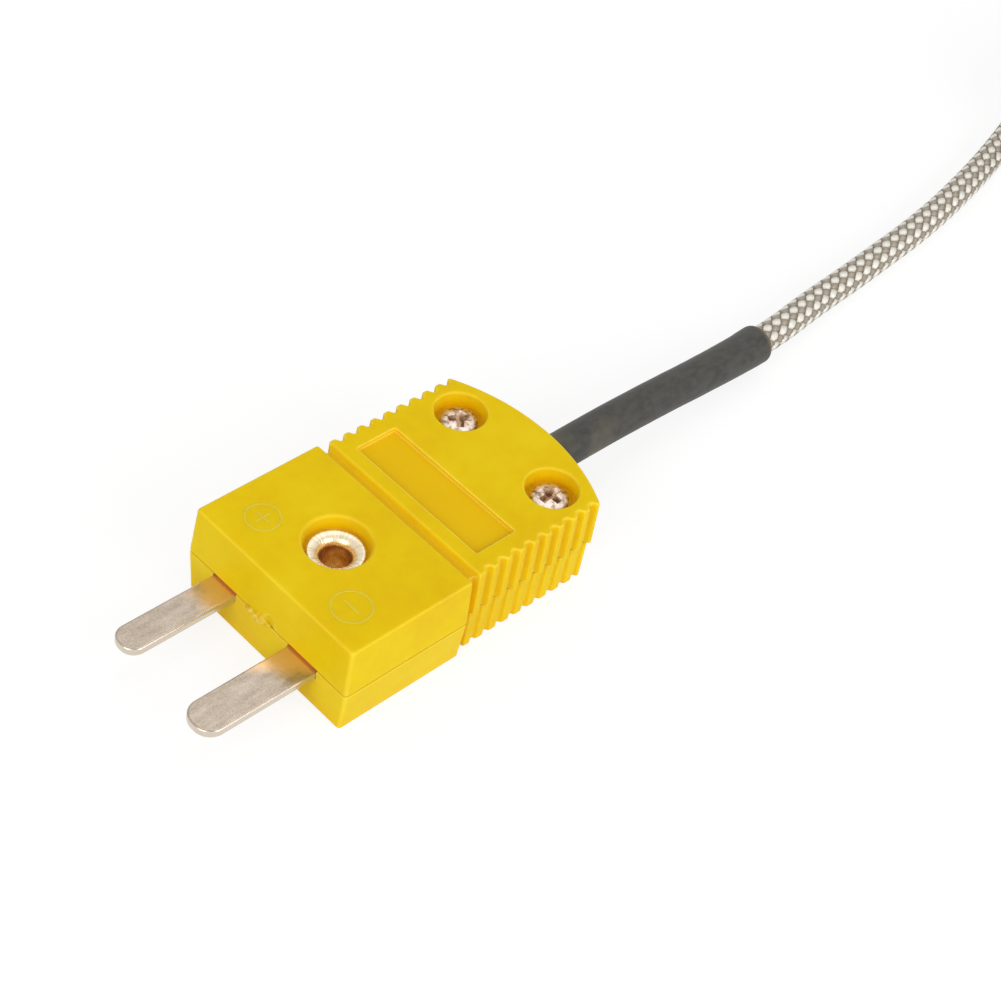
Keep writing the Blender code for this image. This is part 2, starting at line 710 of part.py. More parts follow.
def blade(side):
    """Middle and half width of the blade on the positive (-1) or negative (1) side."""
    if side > 0:
        return NEGATIVE_PIN_X, NEGATIVE_PIN_WIDTH / 2
    return POSITIVE_PIN_X, POSITIVE_PIN_WIDTH / 2


def pin_outline(side, inset):
    """One pin in plan: round tip, straight blade, shoulders that stop it in its slot, and the terminal pad."""
    middle, half = blade(side)
    half -= inset
    tip = half * PIN_TIP_ROUNDING
    tip_y = FRONT_Y - PIN_EXPOSED + inset
    shoulder_y = POCKET_FRONT_Y + FIT + inset
    pad_half = PAD_WIDTH / 2 - inset
    pad_back = TERMINAL_Y + PAD_LENGTH / 2 - inset
    pad_left, pad_right = side * TERMINAL_X - pad_half, side * TERMINAL_X + pad_half
    corner = PAD_CORNER
    left_tip = arc(middle - half + tip, tip_y + tip, tip, 180, 270, 7)
    right_tip = arc(middle + half - tip, tip_y + tip, tip, 270, 360, 7)
    return left_tip + right_tip + [
        (middle + half, shoulder_y),
        (pad_right, shoulder_y),
        (pad_right, pad_back - corner),
        (pad_right - corner, pad_back),
        (pad_left + corner, pad_back),
        (pad_left, pad_back - corner),
        (pad_left, shoulder_y),
        (middle - half, shoulder_y),
    ]


def pin(name, side, alloy):
    """A flat pin with coined edges, drilled for its terminal screw."""
    edge = rounded_edge(PIN_EDGE_RADIUS)
    rings = [at_height(pin_outline(side, inset), PIN_BOTTOM_Z + depth) for depth, inset in reversed(edge)]
    rings += [at_height(pin_outline(side, inset), PIN_TOP_Z - depth) for depth, inset in edge]
    shape = bmesh.new()
    stack(shape, rings)
    piece = place(name, shape, alloy)
    hole = bmesh.new()
    radius = TERMINAL_SHANK_RADIUS + SHANK_HOLE_CLEARANCE
    add_round(hole, side * TERMINAL_X, TERMINAL_Y, radius, 0.0, BODY_HEIGHT, SMALL_ROUND_STEPS)
    combine(piece, cutter(name + "_hole_cutter", hole))


def terminal_screw(name, side, steel):
    """A slotted cheese-head screw that clamps the washer on the wire."""
    tip = SCREW_WELL_FLOOR + FIT
    shank, head = TERMINAL_SHANK_RADIUS, TERMINAL_HEAD_RADIUS
    top, chamfer = TERMINAL_HEAD_TOP_Z, TERMINAL_HEAD_CHAMFER
    profile = [
        (0, tip),
        (0.65 * shank, tip),
        (shank, tip + 0.35 * shank),
        (shank, TERMINAL_HEAD_Z),
        (head, TERMINAL_HEAD_Z),
        (head, top - chamfer),
        (head - chamfer, top),
        (0, top),
    ]
    shape = bmesh.new()
    add_turned(shape, profile, SMALL_ROUND_STEPS, Matrix.Translation((side * TERMINAL_X, TERMINAL_Y, 0)))
    piece = place(name, shape, steel, 40)
    slot = bmesh.new()
    half, reach = TERMINAL_SLOT_WIDTH / 2, head + OVERRUN
    outline = [
        (side * TERMINAL_X - reach, TERMINAL_Y - half),
        (side * TERMINAL_X + reach, TERMINAL_Y - half),
        (side * TERMINAL_X + reach, TERMINAL_Y + half),
        (side * TERMINAL_X - reach, TERMINAL_Y + half),
    ]
    add_prism(slot, outline, top - TERMINAL_SLOT_DEPTH, top + OVERRUN)
    combine(piece, cutter(name + "_slot_cutter", slot))


def clamp_washer(name, side, steel):
    """A plain washer between the screw head and the wire."""
    bore = TERMINAL_SHANK_RADIUS + SHANK_HOLE_CLEARANCE
    low, high = WASHER_Z, WASHER_Z + WASHER_THICKNESS
    profile = [(bore, low), (WASHER_RADIUS, low), (WASHER_RADIUS, high), (bore, high)]
    shape = bmesh.new()
    turn = Matrix.Translation((side * TERMINAL_X, TERMINAL_Y, 0))
    add_turned(shape, profile, SMALL_ROUND_STEPS, turn, closed=True)
    place(name, shape, steel, 40)


def cover_screw(name, side, steel):
    """A pan-head cross-recess screw that holds the halves together at the back."""
    shank, head = COVER_SHANK_RADIUS, COVER_HEAD_RADIUS
    tip, seat, top = COVER_TIP_HEIGHT, COVER_HEAD_Z, COVER_HEAD_TOP_Z
    profile = [
        (0, tip),
        (0.6 * shank, tip),
        (shank, tip + 0.4 * shank),
        (shank, seat),
        (head, seat),
    ]
    crown = COVER_HEAD_HEIGHT - COVER_HEAD_RIM
    for cosine, sine in arc(0, 0, 1, 0, 90, 5)[:-1]:
        profile.append((head * cosine, seat + COVER_HEAD_RIM + crown * sine))
    profile.append((0, top))
    shape = bmesh.new()
    centre = (side * COVER_SCREW_X, COVER_SCREW_Y, 0)
    add_turned(shape, profile, ROUND_STEPS, Matrix.Translation(centre))
    piece = place(name, shape, steel, 40)
    arm, half = CROSS_LENGTH / 2, CROSS_WIDTH / 2
    quarter = [(arm, -half), (arm, half), (half, half)]
    outline = []
    for k in range(4):
        turned = Matrix.Rotation(math.radians(90 * k), 2)
        for corner in quarter:
            x, y = turned @ Vector(corner)
            outline.append((centre[0] + x, centre[1] + y))
    cross = bmesh.new()
    add_prism(cross, outline, top - CROSS_DEPTH, top + OVERRUN)
    combine(piece, cutter(name + "_cross_cutter", cross))


def screw_insert(name, side, brass):
    """A threaded insert pressed in the lower half, with a groove round its waist."""
    low, high = INSERT_SEAT_HEIGHT + FIT, LOWER_FACE_Z
    middle, depth = (low + high) / 2, INSERT_GROOVE_DEPTH
    floor = INSERT_GROOVE_WIDTH / 2
    profile = [
        (INSERT_BORE_RADIUS, low),
        (INSERT_RADIUS, low),
        (INSERT_RADIUS, middle - floor - depth),
        (INSERT_RADIUS - depth, middle - floor),
        (INSERT_RADIUS - depth, middle + floor),
        (INSERT_RADIUS, middle + floor + depth),
        (INSERT_RADIUS, high),
        (INSERT_BORE_RADIUS, high),
    ]
    shape = bmesh.new()
    turn = Matrix.Translation((side * COVER_SCREW_X, COVER_SCREW_Y, 0))
    add_turned(shape, profile, SMALL_ROUND_STEPS, turn, closed=True)
    place(name, shape, brass, 40)


def nose_eyelet(brass):
    """A hollow rivet through both halves, whose two ends a press has flared into trumpets."""
    rim, flare = EYELET_FLANGE_RADIUS, EYELET_FLANGE_RADIUS - EYELET_BORE_RADIUS
    under = flare - EYELET_WALL
    upper = BODY_HEIGHT - EYELET_UPPER_DEPTH - EYELET_FLARE_START
    lower = EYELET_LOWER_DEPTH + EYELET_FLARE_START
    profile = arc(rim, lower, flare, 270, 180, 6) + arc(rim, upper, flare, 180, 90, 6)
    profile += arc(rim, upper, under, 90, 180, 4) + arc(rim, lower, under, 180, 270, 4)
    shape = bmesh.new()
    add_turned(shape, profile, ROUND_STEPS, Matrix.Translation((0, EYELET_Y, 0)), closed=True)
    place("nose_eyelet", shape, brass, 40)


def core(sign, side, alloy, covering):
    """One wire of the lead inside the plug: the covered stretch, then the bare end hooked round its screw."""
    covered = smooth_line([(side * x, y, z) for x, y, z in CORE_ROUTE], TERMINAL_Y)
    points = between(covered, covered[0].y, covered[-1].y, 3 * INSULATION_RADIUS)
    tube(sign + "_insulation", points, INSULATION_RADIUS, covering)
    hook_radius = TERMINAL_SHANK_RADIUS + SMALL_GAP + CONDUCTOR_RADIUS
    hook = arc(TERMINAL_X, TERMINAL_Y, hook_radius, 180, 400, 14)
    start = Vector(points[-1]) + (Vector(points[-1]) - Vector(points[-2])).normalized() * FIT
    route = [start, Vector((side * (TERMINAL_X - hook_radius), start.y - HOOK_LEAD_IN, WIRE_Z))]
    route += [Vector((side * x, y, WIRE_Z)) for x, y in hook]
    tube(sign + "_conductor", route, CONDUCTOR_RADIUS, alloy)


def lead_pieces(black, braid):
    """The shrink sleeve, the open stretch of the lead and the short end at the sheath."""
    line, spacing = smooth_line(LEAD_ROUTE, BACK_Y), LEAD_POINT_SPACING
    sleeve_end = BACK_Y + SLEEVE_OUTSIDE
    sleeve_line = between(line, BACK_Y - SLEEVE_INSIDE, sleeve_end, SLEEVE_POINT_SPACING)
    tube("heat_shrink_sleeve", sleeve_line, SLEEVE_RADIUS, black, SLEEVE_END_RADIUS / SLEEVE_RADIUS)
    lead_line = between(line, sleeve_end + FIT, BACK_Y + LEAD_OPEN_LENGTH, spacing)
    tube("lead_cable", lead_line, LEAD_RADIUS, braid)
    tail = smooth_line(TAIL_ROUTE, BACK_Y)
    tail_line = between(tail, BACK_Y + TAIL_BEHIND_BACK, BACK_Y + SHEATH_BEHIND_BACK + FIT, spacing)
    tube("lead_tail", tail_line, LEAD_RADIUS, braid)


def hank(braid):
    """The put-away length of the lead, as the outer shape of its turns, notched where the tie passes under."""
    far_y = HANK_NEAR_Y + HANK_RUN
    outer = racetrack(HANK_NEAR_Y, far_y, HANK_OUTER_RADIUS)
    inner = racetrack(HANK_NEAR_Y, far_y, HANK_INNER_RADIUS)
    shape = bmesh.new()
    add_ring_prism(shape, outer, inner, lambda p, end: (p[0], p[1], end * HANK_HEIGHT))
    piece = place("lead_hank", shape, braid)
    notch = bmesh.new()
    reach, half = HANK_OUTER_RADIUS + OVERRUN, TIE_WIDTH / 2 + FIT
    outline = [(-reach, TIE_Y - half), (0, TIE_Y - half), (0, TIE_Y + half), (-reach, TIE_Y + half)]
    add_prism(notch, outline, -OVERRUN, TIE_THICKNESS + FIT)
    combine(piece, cutter("tie_notch_cutter", notch))


def hank_tie(black):
    """A flat strap round the left run of the hank."""
    left, right = -HANK_OUTER_RADIUS - FIT, -HANK_INNER_RADIUS + FIT
    top = HANK_HEIGHT + FIT
    wall = TIE_THICKNESS
    outer = rounded_rectangle(left - wall, 0.0, right + wall, top + wall, TIE_CORNER_RADIUS)
    inner = rounded_rectangle(left, wall, right, top, TIE_CORNER_RADIUS - wall)
    shape = bmesh.new()
    add_ring_prism(shape, outer, inner, lambda p, end: (p[0], TIE_Y + (end - 0.5) * TIE_WIDTH, p[1]))
    place("hank_tie", shape, black)


def probe_sheath(steel):
    """A drawn closed-end tube with two crimp grooves at its open end, lying inside the hank."""
    radius, groove = SHEATH_RADIUS, SHEATH_RADIUS - CRIMP_DEPTH
    profile = [(0, 0), (radius - SHEATH_MOUTH_CHAMFER, 0), (radius, SHEATH_MOUTH_CHAMFER)]
    for k in range(CRIMP_COUNT):
        start = FIRST_CRIMP + k * CRIMP_PITCH
        profile += [
            (radius, start),
            (groove, start + CRIMP_SHOULDER),
            (groove, start + CRIMP_WIDTH - CRIMP_SHOULDER),
            (radius, start + CRIMP_WIDTH),
        ]
    profile += arc(0, SHEATH_LENGTH - radius, radius, 0, 90, 6)[:-1]
    profile += [(0, SHEATH_LENGTH)]
    start = Vector((SHEATH_X, BACK_Y + SHEATH_BEHIND_BACK, radius))
    turn = Matrix.Translation(start) @ Matrix.Rotation(math.radians(90), 4, "X")
    shape = bmesh.new()
    add_turned(shape, profile, 24, turn)
    place("probe_sheath", shape, steel, 40)


def main():
    for old in list(bpy.data.objects):
        bpy.data.objects.remove(old, do_unlink=True)
    yellow = material("yellow_nylon", (0.78, 0.55, 0.01), 0.42)
    nickel = material("nickel_alloy", (0.60, 0.55, 0.47), 0.28, 1.0)
    steel = material("plated_steel", (0.62, 0.60, 0.57), 0.3, 1.0)
    brass = material("brass", (0.72, 0.56, 0.27), 0.3, 1.0)
    black = material("black_polyolefin", (0.035, 0.034, 0.032), 0.5)
    braid = material("wire_braid", (0.62, 0.58, 0.53), 0.4, 1.0)
    covering = material("glass_sleeving", (0.75, 0.70, 0.58), 0.8)
    shells(yellow)
    for sign, side in (("positive", -1), ("negative", 1)):
        pin(sign + "_pin", side, nickel)
        terminal_screw(sign + "_terminal_screw", side, steel)
        clamp_washer(sign + "_clamp_washer", side, steel)
        core(sign, side, nickel, covering)
    for hand, side in (("left", -1), ("right", 1)):
        cover_screw("cover_screw_" + hand, side, steel)
        screw_insert("screw_insert_" + hand, side, brass)
    nose_eyelet(brass)
    lead_pieces(black, braid)
    hank(braid)
    hank_tie(black)
    probe_sheath(steel)


main()
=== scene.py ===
import math

import bmesh
import bpy
from mathutils import Matrix, Vector


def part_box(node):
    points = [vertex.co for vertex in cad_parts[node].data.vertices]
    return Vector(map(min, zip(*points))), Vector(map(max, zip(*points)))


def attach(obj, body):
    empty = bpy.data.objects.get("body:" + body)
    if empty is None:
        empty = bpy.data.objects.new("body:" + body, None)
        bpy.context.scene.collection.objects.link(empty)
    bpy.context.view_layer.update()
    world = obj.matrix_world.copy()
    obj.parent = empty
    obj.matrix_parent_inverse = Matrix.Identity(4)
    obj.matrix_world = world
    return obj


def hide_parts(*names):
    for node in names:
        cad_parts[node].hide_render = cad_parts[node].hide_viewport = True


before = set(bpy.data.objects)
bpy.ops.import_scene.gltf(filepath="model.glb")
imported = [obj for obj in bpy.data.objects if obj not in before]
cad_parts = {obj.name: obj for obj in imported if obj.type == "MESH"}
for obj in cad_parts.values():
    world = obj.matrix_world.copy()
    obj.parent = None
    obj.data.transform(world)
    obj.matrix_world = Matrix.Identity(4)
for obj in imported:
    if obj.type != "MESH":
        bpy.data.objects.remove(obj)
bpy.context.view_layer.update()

# Camera
# It looks down on the plug from the front right, turned a little about its own axis as the photograph is.
MM = 0.001
AIM = Vector((1.234, 12.322, 4.0)) * MM
CAMERA_DISTANCE = 162.008 * MM
CAMERA_BEARING = math.radians(-52.199)
CAMERA_ELEVATION = math.radians(44.6)
CAMERA_ROLL = math.radians(12.009)
LENS_ON_36_MM = 81.92

towards_eye = Vector((
    math.cos(CAMERA_ELEVATION) * math.cos(CAMERA_BEARING),
    math.cos(CAMERA_ELEVATION) * math.sin(CAMERA_BEARING),
    math.sin(CAMERA_ELEVATION),
))
level = Vector((0, 0, 1)).cross(towards_eye).normalized()
upright = towards_eye.cross(level)
facing = Matrix((level, upright, towards_eye)).transposed() @ Matrix.Rotation(CAMERA_ROLL, 3, "Z")
camera = bpy.data.objects.new("camera", bpy.data.cameras.new("camera"))
camera.data.lens = LENS_ON_36_MM
camera.data.sensor_width = 36.0
camera.data.clip_start = 0.001
camera.matrix_world = Matrix.Translation(AIM + towards_eye * CAMERA_DISTANCE) @ facing.to_4x4()
bpy.context.scene.collection.objects.link(camera)
bpy.context.scene.camera = camera
bpy.context.scene.view_settings.view_transform = "Standard"

# Table and room
# A plain white table stands in a white room. It is lit by the room and by soft boxes above it, in front
# and at the side.
TABLE_SIZE = 3.0
TABLE_ALBEDO = (0.80, 0.80, 0.80, 1.0)
ROOM_STRENGTH = 0.46
SEEN_WHITE = (1.0, 1.0, 1.0, 1.0)
TABLE_GLOW = 0.72
TABLE_GLOW_STRENGTH = 1.12


def feed(tree, socket, value):
    """Links an output to an input, or sets the input to a plain value."""
    if isinstance(value, bpy.types.NodeSocket):
        tree.links.new(value, socket)
    else:
        socket.default_value = value


def calculate(tree, operation, *values):
    """One Math node's result."""
    node = tree.nodes.new("ShaderNodeMath")
    node.operation = operation
    for socket, value in zip(node.inputs, values):
        feed(tree, socket, value)
    return node.outputs[0]


def times(tree, first, second):
    return calculate(tree, "MULTIPLY", first, second)


def fill(tree, node, values):
    """Feeds a node's inputs, by name or number."""
    for key, value in values.items():
        feed(tree, node.inputs[key], value)


def add_node(tree, kind, values=None, **settings):
    """A new node with its settings and inputs."""
    node = tree.nodes.new(kind)
    for key, value in settings.items():
        setattr(node, key, value)
    fill(tree, node, values or {})
    return node


def new_finish(name):
    """A material, its node tree and its shader."""
    finish = bpy.data.materials.new(name)
    finish.use_nodes = True
    return finish, finish.node_tree, finish.node_tree.nodes["Principled BSDF"]


def seen_ray(tree):
    """1 for rays that show the background to the eye, straight or by way of metal or glass."""
    rays = tree.nodes.new("ShaderNodeLightPath").outputs
    mirrored = calculate(tree, "MAXIMUM", rays["Is Camera Ray"], rays["Is Glossy Ray"])
    return calculate(tree, "MAXIMUM", mirrored, rays["Is Transmission Ray"])


world = bpy.data.worlds.new("white_room")
world.use_nodes = True
bpy.context.scene.world = world
room = world.node_tree
lighting = room.nodes["Background"]
fill(room, lighting, {"Color": SEEN_WHITE, "Strength": ROOM_STRENGTH})
backdrop = add_node(room, "ShaderNodeBackground", {"Color": SEEN_WHITE})
either = add_node(
    room, "ShaderNodeMixShader",
    {"Fac": seen_ray(room), 1: lighting.outputs[0], 2: backdrop.outputs[0]},
)
feed(room, room.nodes["World Output"].inputs["Surface"], either.outputs[0])

table_finish, tree, paint = new_finish("white_table")
fill(tree, paint, {"Base Color": TABLE_ALBEDO, "Roughness": 0.9, "Specular IOR Level": 0.1})
glow = add_node(tree, "ShaderNodeEmission", {"Color": SEEN_WHITE, "Strength": TABLE_GLOW_STRENGTH})
blend = add_node(
    tree, "ShaderNodeMixShader",
    {"Fac": times(tree, seen_ray(tree), TABLE_GLOW), 1: paint.outputs[0], 2: glow.outputs[0]},
)
feed(tree, tree.nodes["Material Output"].inputs["Surface"], blend.outputs[0])

table_mesh = bpy.data.meshes.new("table")
half = TABLE_SIZE / 2
corners = [(-half, -half, 0), (half, -half, 0), (half, half, 0), (-half, half, 0)]
table_mesh.from_pydata(corners, [], [(0, 1, 2, 3)])
table_mesh.materials.append(table_finish)
table = bpy.data.objects.new("table", table_mesh)
bpy.context.scene.collection.objects.link(table)


def soft_box(name, place, size, power):
    """A square area lamp that faces the plug."""
    lamp = bpy.data.lights.new(name, "AREA")
    lamp.shape = "SQUARE"
    lamp.size = size
    lamp.energy = power
    stand = bpy.data.objects.new(name, lamp)
    turn = (place - AIM).to_track_quat("Z", "Y").to_matrix().to_4x4()
    stand.matrix_world = Matrix.Translation(place) @ turn
    bpy.context.scene.collection.objects.link(stand)


soft_box("overhead_soft_box", Vector((-0.1, 0.25, 0.7)), 0.6, 0.8)
soft_box("front_soft_box", Vector((0.15, -0.6, 0.35)), 0.5, 2.3)
soft_box("side_soft_box", Vector((0.65, 0.1, 0.35)), 0.5, 2.5)

# Lower housing
# The lower half of the plug is injection moulded in yellow nylon. It carries the pins and the terminals.
# It has the waist groove and the finger ribs of the upper half, which lands on it at the parting line.
FRONT_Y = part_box("bottom_shell")[0][1]
BACK_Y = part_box("top_shell")[1][1]
TOP_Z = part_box("top_shell")[1][2]
NOSE_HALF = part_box("top_shell")[1][0]
UPPER_GRIP_HALF = 7.83 * MM
LOWER_GRIP_HALF = 7.57 * MM
WAIST_Y = FRONT_Y + 10.875 * MM
WAIST_WIDTH = 0.92 * MM
WAIST_SLOPE = 0.21 * MM
WAIST_SIDE_DEPTH = 0.5 * MM
WAIST_FACE_DEPTH = 0.45 * MM
GRIP_Y = WAIST_Y + WAIST_WIDTH
GULLETS = 9
GULLET_PITCH = 1.25 * MM
FIRST_GULLET_Y = GRIP_Y + 0.9 * MM
GULLET_FLOOR_HALF = 0.18 * MM
GULLET_SLOPE = 0.6
UPPER_GULLET_DEPTH = 0.4 * MM
LOWER_GULLET_DEPTH = 0.25 * MM
BACK_RADIUS = 16.1 * MM
BACK_SHELF = 0.2 * MM
LOWER_PARTING_Z = 3.54 * MM
UPPER_PARTING_Z = 3.66 * MM
PARTING_ROUND = 0.10 * MM
EDGE_ROUND = 0.17 * MM
SIDE_CORNER_ROUND = 0.3 * MM
LIP_ROUND = 0.12 * MM
RIB_ROUND = 0.09 * MM
BACK_CORNER_ROUND = 0.3 * MM
CORNER_STEPS = 4
EDGE_STEPS = 5
LIFT = 0.002 * MM
OVERRUN = 1.0 * MM
POCKET_X = (0.9 * MM, 6.26 * MM)
POCKET_FRONT_Y = FRONT_Y + 10.3 * MM
POCKET_BACK_Y = POCKET_FRONT_Y + 8.6 * MM
POCKET_FLOOR_Z = 2.45 * MM
POCKET_CORNER = 0.5 * MM
PASSAGE_Y = (9.225 * MM, 14.425 * MM)
PASSAGE_HALF = 2.0 * MM
PASSAGE_Z = (2.04 * MM, 5.6 * MM)
SLEEVE_RADIUS = 1.46 * MM
LEAD_EXIT_Z = 3.8 * MM
WELL_X = 3.96 * MM
WELL_Y = (POCKET_FRONT_Y + POCKET_BACK_Y) / 2
WELL_RADIUS = 1.3 * MM
WELL_FLOOR_Z = 1.0 * MM
EYELET_X = -0.15 * MM
EYELET_Y = FRONT_Y + 5.985 * MM
EYELET_COUNTERBORE = 2.38 * MM
EYELET_HOLE = 1.33 * MM
EYELET_DEPTHS = (1.3 * MM, 1.18 * MM)
EYELET_SINK = 0.58 * MM
EYELET_MOUTH_ROUND = 0.24 * MM
COVER_SCREW_X = 4.7 * MM
COVER_SCREW_Y = BACK_Y - 3.825 * MM
INSERT_SEAT = 1.62 * MM
INSERT_SEAT_FLOOR = 1.17 * MM
INSERT_SEAT_STEPS = 48
PEG_X = 6.85 * MM
PEG_Y = FRONT_Y + 2.4 * MM
PEG_RADIUS = 0.5 * MM
PEG_FOOT_Z = UPPER_PARTING_Z - 1.1 * MM
PEG_HOLE_GAP = 0.1 * MM
PEG_HOLE_SPARE = 0.3 * MM
PIN_SLOT_CLEARANCE = 0.03 * MM
PINS = {"positive": (-4.31 * MM, 2.42 * MM), "negative": (3.76 * MM, 2.95 * MM)}
PIN_BOTTOM_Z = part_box("positive_pin")[0][2]
PIN_TOP_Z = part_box("positive_pin")[1][2]
ROUND_STEPS = 72
SMALL_ROUND_STEPS = 32
GRIP_DRAFT = 0.04 * MM
LOWER_NOSE_DRAFT = 0.27 * MM
LOWER_FRONT_DRAFT = 0.10 * MM


def arc(centre_x, centre_y, radius, start, end, steps):
    """Points along an arc, from one angle in degrees to another."""
    angles = [math.radians(start + (end - start) * i / steps) for i in range(steps + 1)]
    return [(centre_x + radius * math.cos(a), centre_y + radius * math.sin(a)) for a in angles]


def circle(centre_x, centre_y, radius, steps=SMALL_ROUND_STEPS):
    """Points all the way round, each once."""
    return arc(centre_x, centre_y, radius, 0, 360, steps)[:-1]


def softened(points, rounds, steps=CORNER_STEPS):
    """An open line with every corner but the ends drawn as a soft bend of its own size."""
    line = [points[0]]
    for before, corner, after, size in zip(points, points[1:], points[2:], rounds):
        here = Vector(corner)
        back, ahead = Vector(before) - here, Vector(after) - here
        start = here + back.normalized() * min(size, back.length / 2)
        end = here + ahead.normalized() * min(size, ahead.length / 2)
        for i in range(steps + 1):
            t = i / steps
            line.append(tuple(start * (1 - t) ** 2 + here * 2 * t * (1 - t) + end * t**2))
    return line + [points[-1]]


def rounded_rectangle(x0, y0, x1, y1, radius, steps=6):
    """A rectangle with round corners, counterclockwise."""
    return (
        arc(x1 - radius, y0 + radius, radius, -90, 0, steps)
        + arc(x1 - radius, y1 - radius, radius, 0, 90, steps)
        + arc(x0 + radius, y1 - radius, radius, 90, 180, steps)
        + arc(x0 + radius, y0 + radius, radius, 180, 270, steps)
    )


def stack(shape, rings):
    """Closed rings of as many points each, joined by walls and capped at both ends."""
    loops = [[shape.verts.new(point) for point in ring] for ring in rings]
    for lower, upper in zip(loops, loops[1:]):
        for i in range(len(lower)):
            j = (i + 1) % len(lower)
            shape.faces.new((lower[i], lower[j], upper[j], upper[i]))
    shape.faces.new(list(reversed(loops[0])))
    shape.faces.new(loops[-1])


def prism(shape, outline, z0, z1):
    """An upright prism on a plan outline."""
    stack(shape, [[(x, y, z) for x, y in outline] for z in (z0, z1)])


def turned(shape, profile, steps, turn, closed=False):
    """A solid turned about Z from (radius, z) points, or a ring where the profile is closed."""
    loops = []
    for radius, z in profile:
        if radius == 0:
            loops.append([shape.verts.new(turn @ Vector((0, 0, z)))])
        else:
            ring = circle(0, 0, radius, steps)
            loops.append([shape.verts.new(turn @ Vector((x, y, z))) for x, y in ring])
    pairs = list(zip(loops, loops[1:]))
    if closed:
        pairs.append((loops[-1], loops[0]))
    for lower, upper in pairs:
        for i in range(steps):
            j = (i + 1) % steps
            if len(lower) == 1:
                shape.faces.new((lower[0], upper[j], upper[i]))
            elif len(upper) == 1:
                shape.faces.new((lower[i], lower[j], upper[0]))
            else:
                shape.faces.new((lower[i], lower[j], upper[j], upper[i]))


def made(name, shape, finish=None):
    """A bmesh as a named object, with its faces turned outwards."""
    bmesh.ops.recalc_face_normals(shape, faces=shape.faces)
    mesh = bpy.data.meshes.new(name)
    shape.to_mesh(mesh)
    shape.free()
    if finish:
        mesh.materials.append(finish)
    piece = bpy.data.objects.new(name, mesh)
    bpy.context.scene.collection.objects.link(piece)
    return piece


def stacked(name, rings, finish=None):
    """Closed rings joined into one named piece."""
    shape = bmesh.new()
    stack(shape, rings)
    return made(name, shape, finish)


def spun(name, profile, steps, turn, finish=None, closed=False):
    """A turned solid as one named piece."""
    shape = bmesh.new()
    turned(shape, profile, steps, turn, closed)
    return made(name, shape, finish)


def carve(piece, tool, operation="DIFFERENCE"):
    """Cuts a tool body out of a piece, or joins it on."""
    step = piece.modifiers.new("cut", "BOOLEAN")
    step.operation = operation
    step.solver = "EXACT"
    step.object = tool
    tool.hide_render = True


def settle(piece, sharp_angle=38):
    """Bakes a piece's cuts into its mesh, drops the tools and shades round stretches smooth."""
    tools = [step.object for step in piece.modifiers if step.type == "BOOLEAN"]
    for weighted in (False, True):
        layer = bpy.context.evaluated_depsgraph_get()
        mesh = bpy.data.meshes.new_from_object(piece.evaluated_get(layer), depsgraph=layer)
        piece.modifiers.clear()
        piece.data = mesh
        if not weighted:
            mesh.shade_smooth()
            mesh.set_sharp_from_angle(angle=math.radians(sharp_angle))
            step = piece.modifiers.new("normals", "WEIGHTED_NORMAL")
            step.keep_sharp = True
    piece.data.name = piece.name
    for tool in tools:
        bpy.data.objects.remove(tool)


def side_line(nose_half, grip_half, front_y, back_inset, gullet_depth, inset):
    """The right side of the plug in plan, from the front corner to the middle of the back."""
    waist_half = grip_half - WAIST_SIDE_DEPTH + inset
    mouth = GULLET_FLOOR_HALF + GULLET_SLOPE * gullet_depth
    back_radius = BACK_RADIUS - back_inset
    corner = math.degrees(math.acos(grip_half / back_radius))
    back = arc(0, BACK_Y - BACK_RADIUS, back_radius, corner, 90, 16)
    points = [
        (0, front_y),
        (nose_half, front_y),
        (nose_half, WAIST_Y - inset),
        (waist_half, WAIST_Y + WAIST_SLOPE - inset),
        (waist_half, GRIP_Y - WAIST_SLOPE + inset),
        (grip_half, GRIP_Y + inset),
    ]
    rounds = [SIDE_CORNER_ROUND, LIP_ROUND, LIP_ROUND, LIP_ROUND, LIP_ROUND]
    for k in range(GULLETS):
        y = FIRST_GULLET_Y + k * GULLET_PITCH
        points += [
            (grip_half, y - mouth),
            (grip_half - gullet_depth, y - GULLET_FLOOR_HALF),
            (grip_half - gullet_depth, y + GULLET_FLOOR_HALF),
            (grip_half, y + mouth),
        ]
        rounds += [RIB_ROUND, RIB_ROUND, RIB_ROUND, RIB_ROUND]
    points += [back[0], back[1]]
    rounds += [BACK_CORNER_ROUND]
    return softened(points, rounds)[1:] + back[2:]


def plan(z, sizes, inset=0.0):
    """The whole plan outline of a housing at one height, drawn in by inset."""
    nose_half, grip_half, front_y, back_inset, gullet_depth = sizes
    right = side_line(
        nose_half - inset, grip_half - inset, front_y + inset, back_inset + inset, gullet_depth, inset
    )
    left = [(-x, y) for x, y in reversed(right[:-1])]
    return [(x, y, z) for x, y in right + left]


def quarter_round(radius, steps=EDGE_STEPS):
    """A rounded edge as (depth, inset) pairs, from the side up to the face."""
    angles = [math.pi / 2 * i / steps for i in range(steps + 1)]
    return [(radius * (1 - math.sin(a)), radius * (1 - math.cos(a))) for a in angles]


def housing(name, parting_z, face_z, at_parting, at_face, finish):
    """One moulded half, with a rounded edge at the parting line and round its outer face."""
    outward = math.copysign(1.0, face_z - parting_z)
    parting, face = list(reversed(quarter_round(PARTING_ROUND))), quarter_round(EDGE_ROUND)
    rings = [plan(parting_z + outward * depth, at_parting, inset) for depth, inset in parting]
    rings += [plan(face_z - outward * depth, at_face, inset) for depth, inset in face]
    return stacked(name, rings, finish)


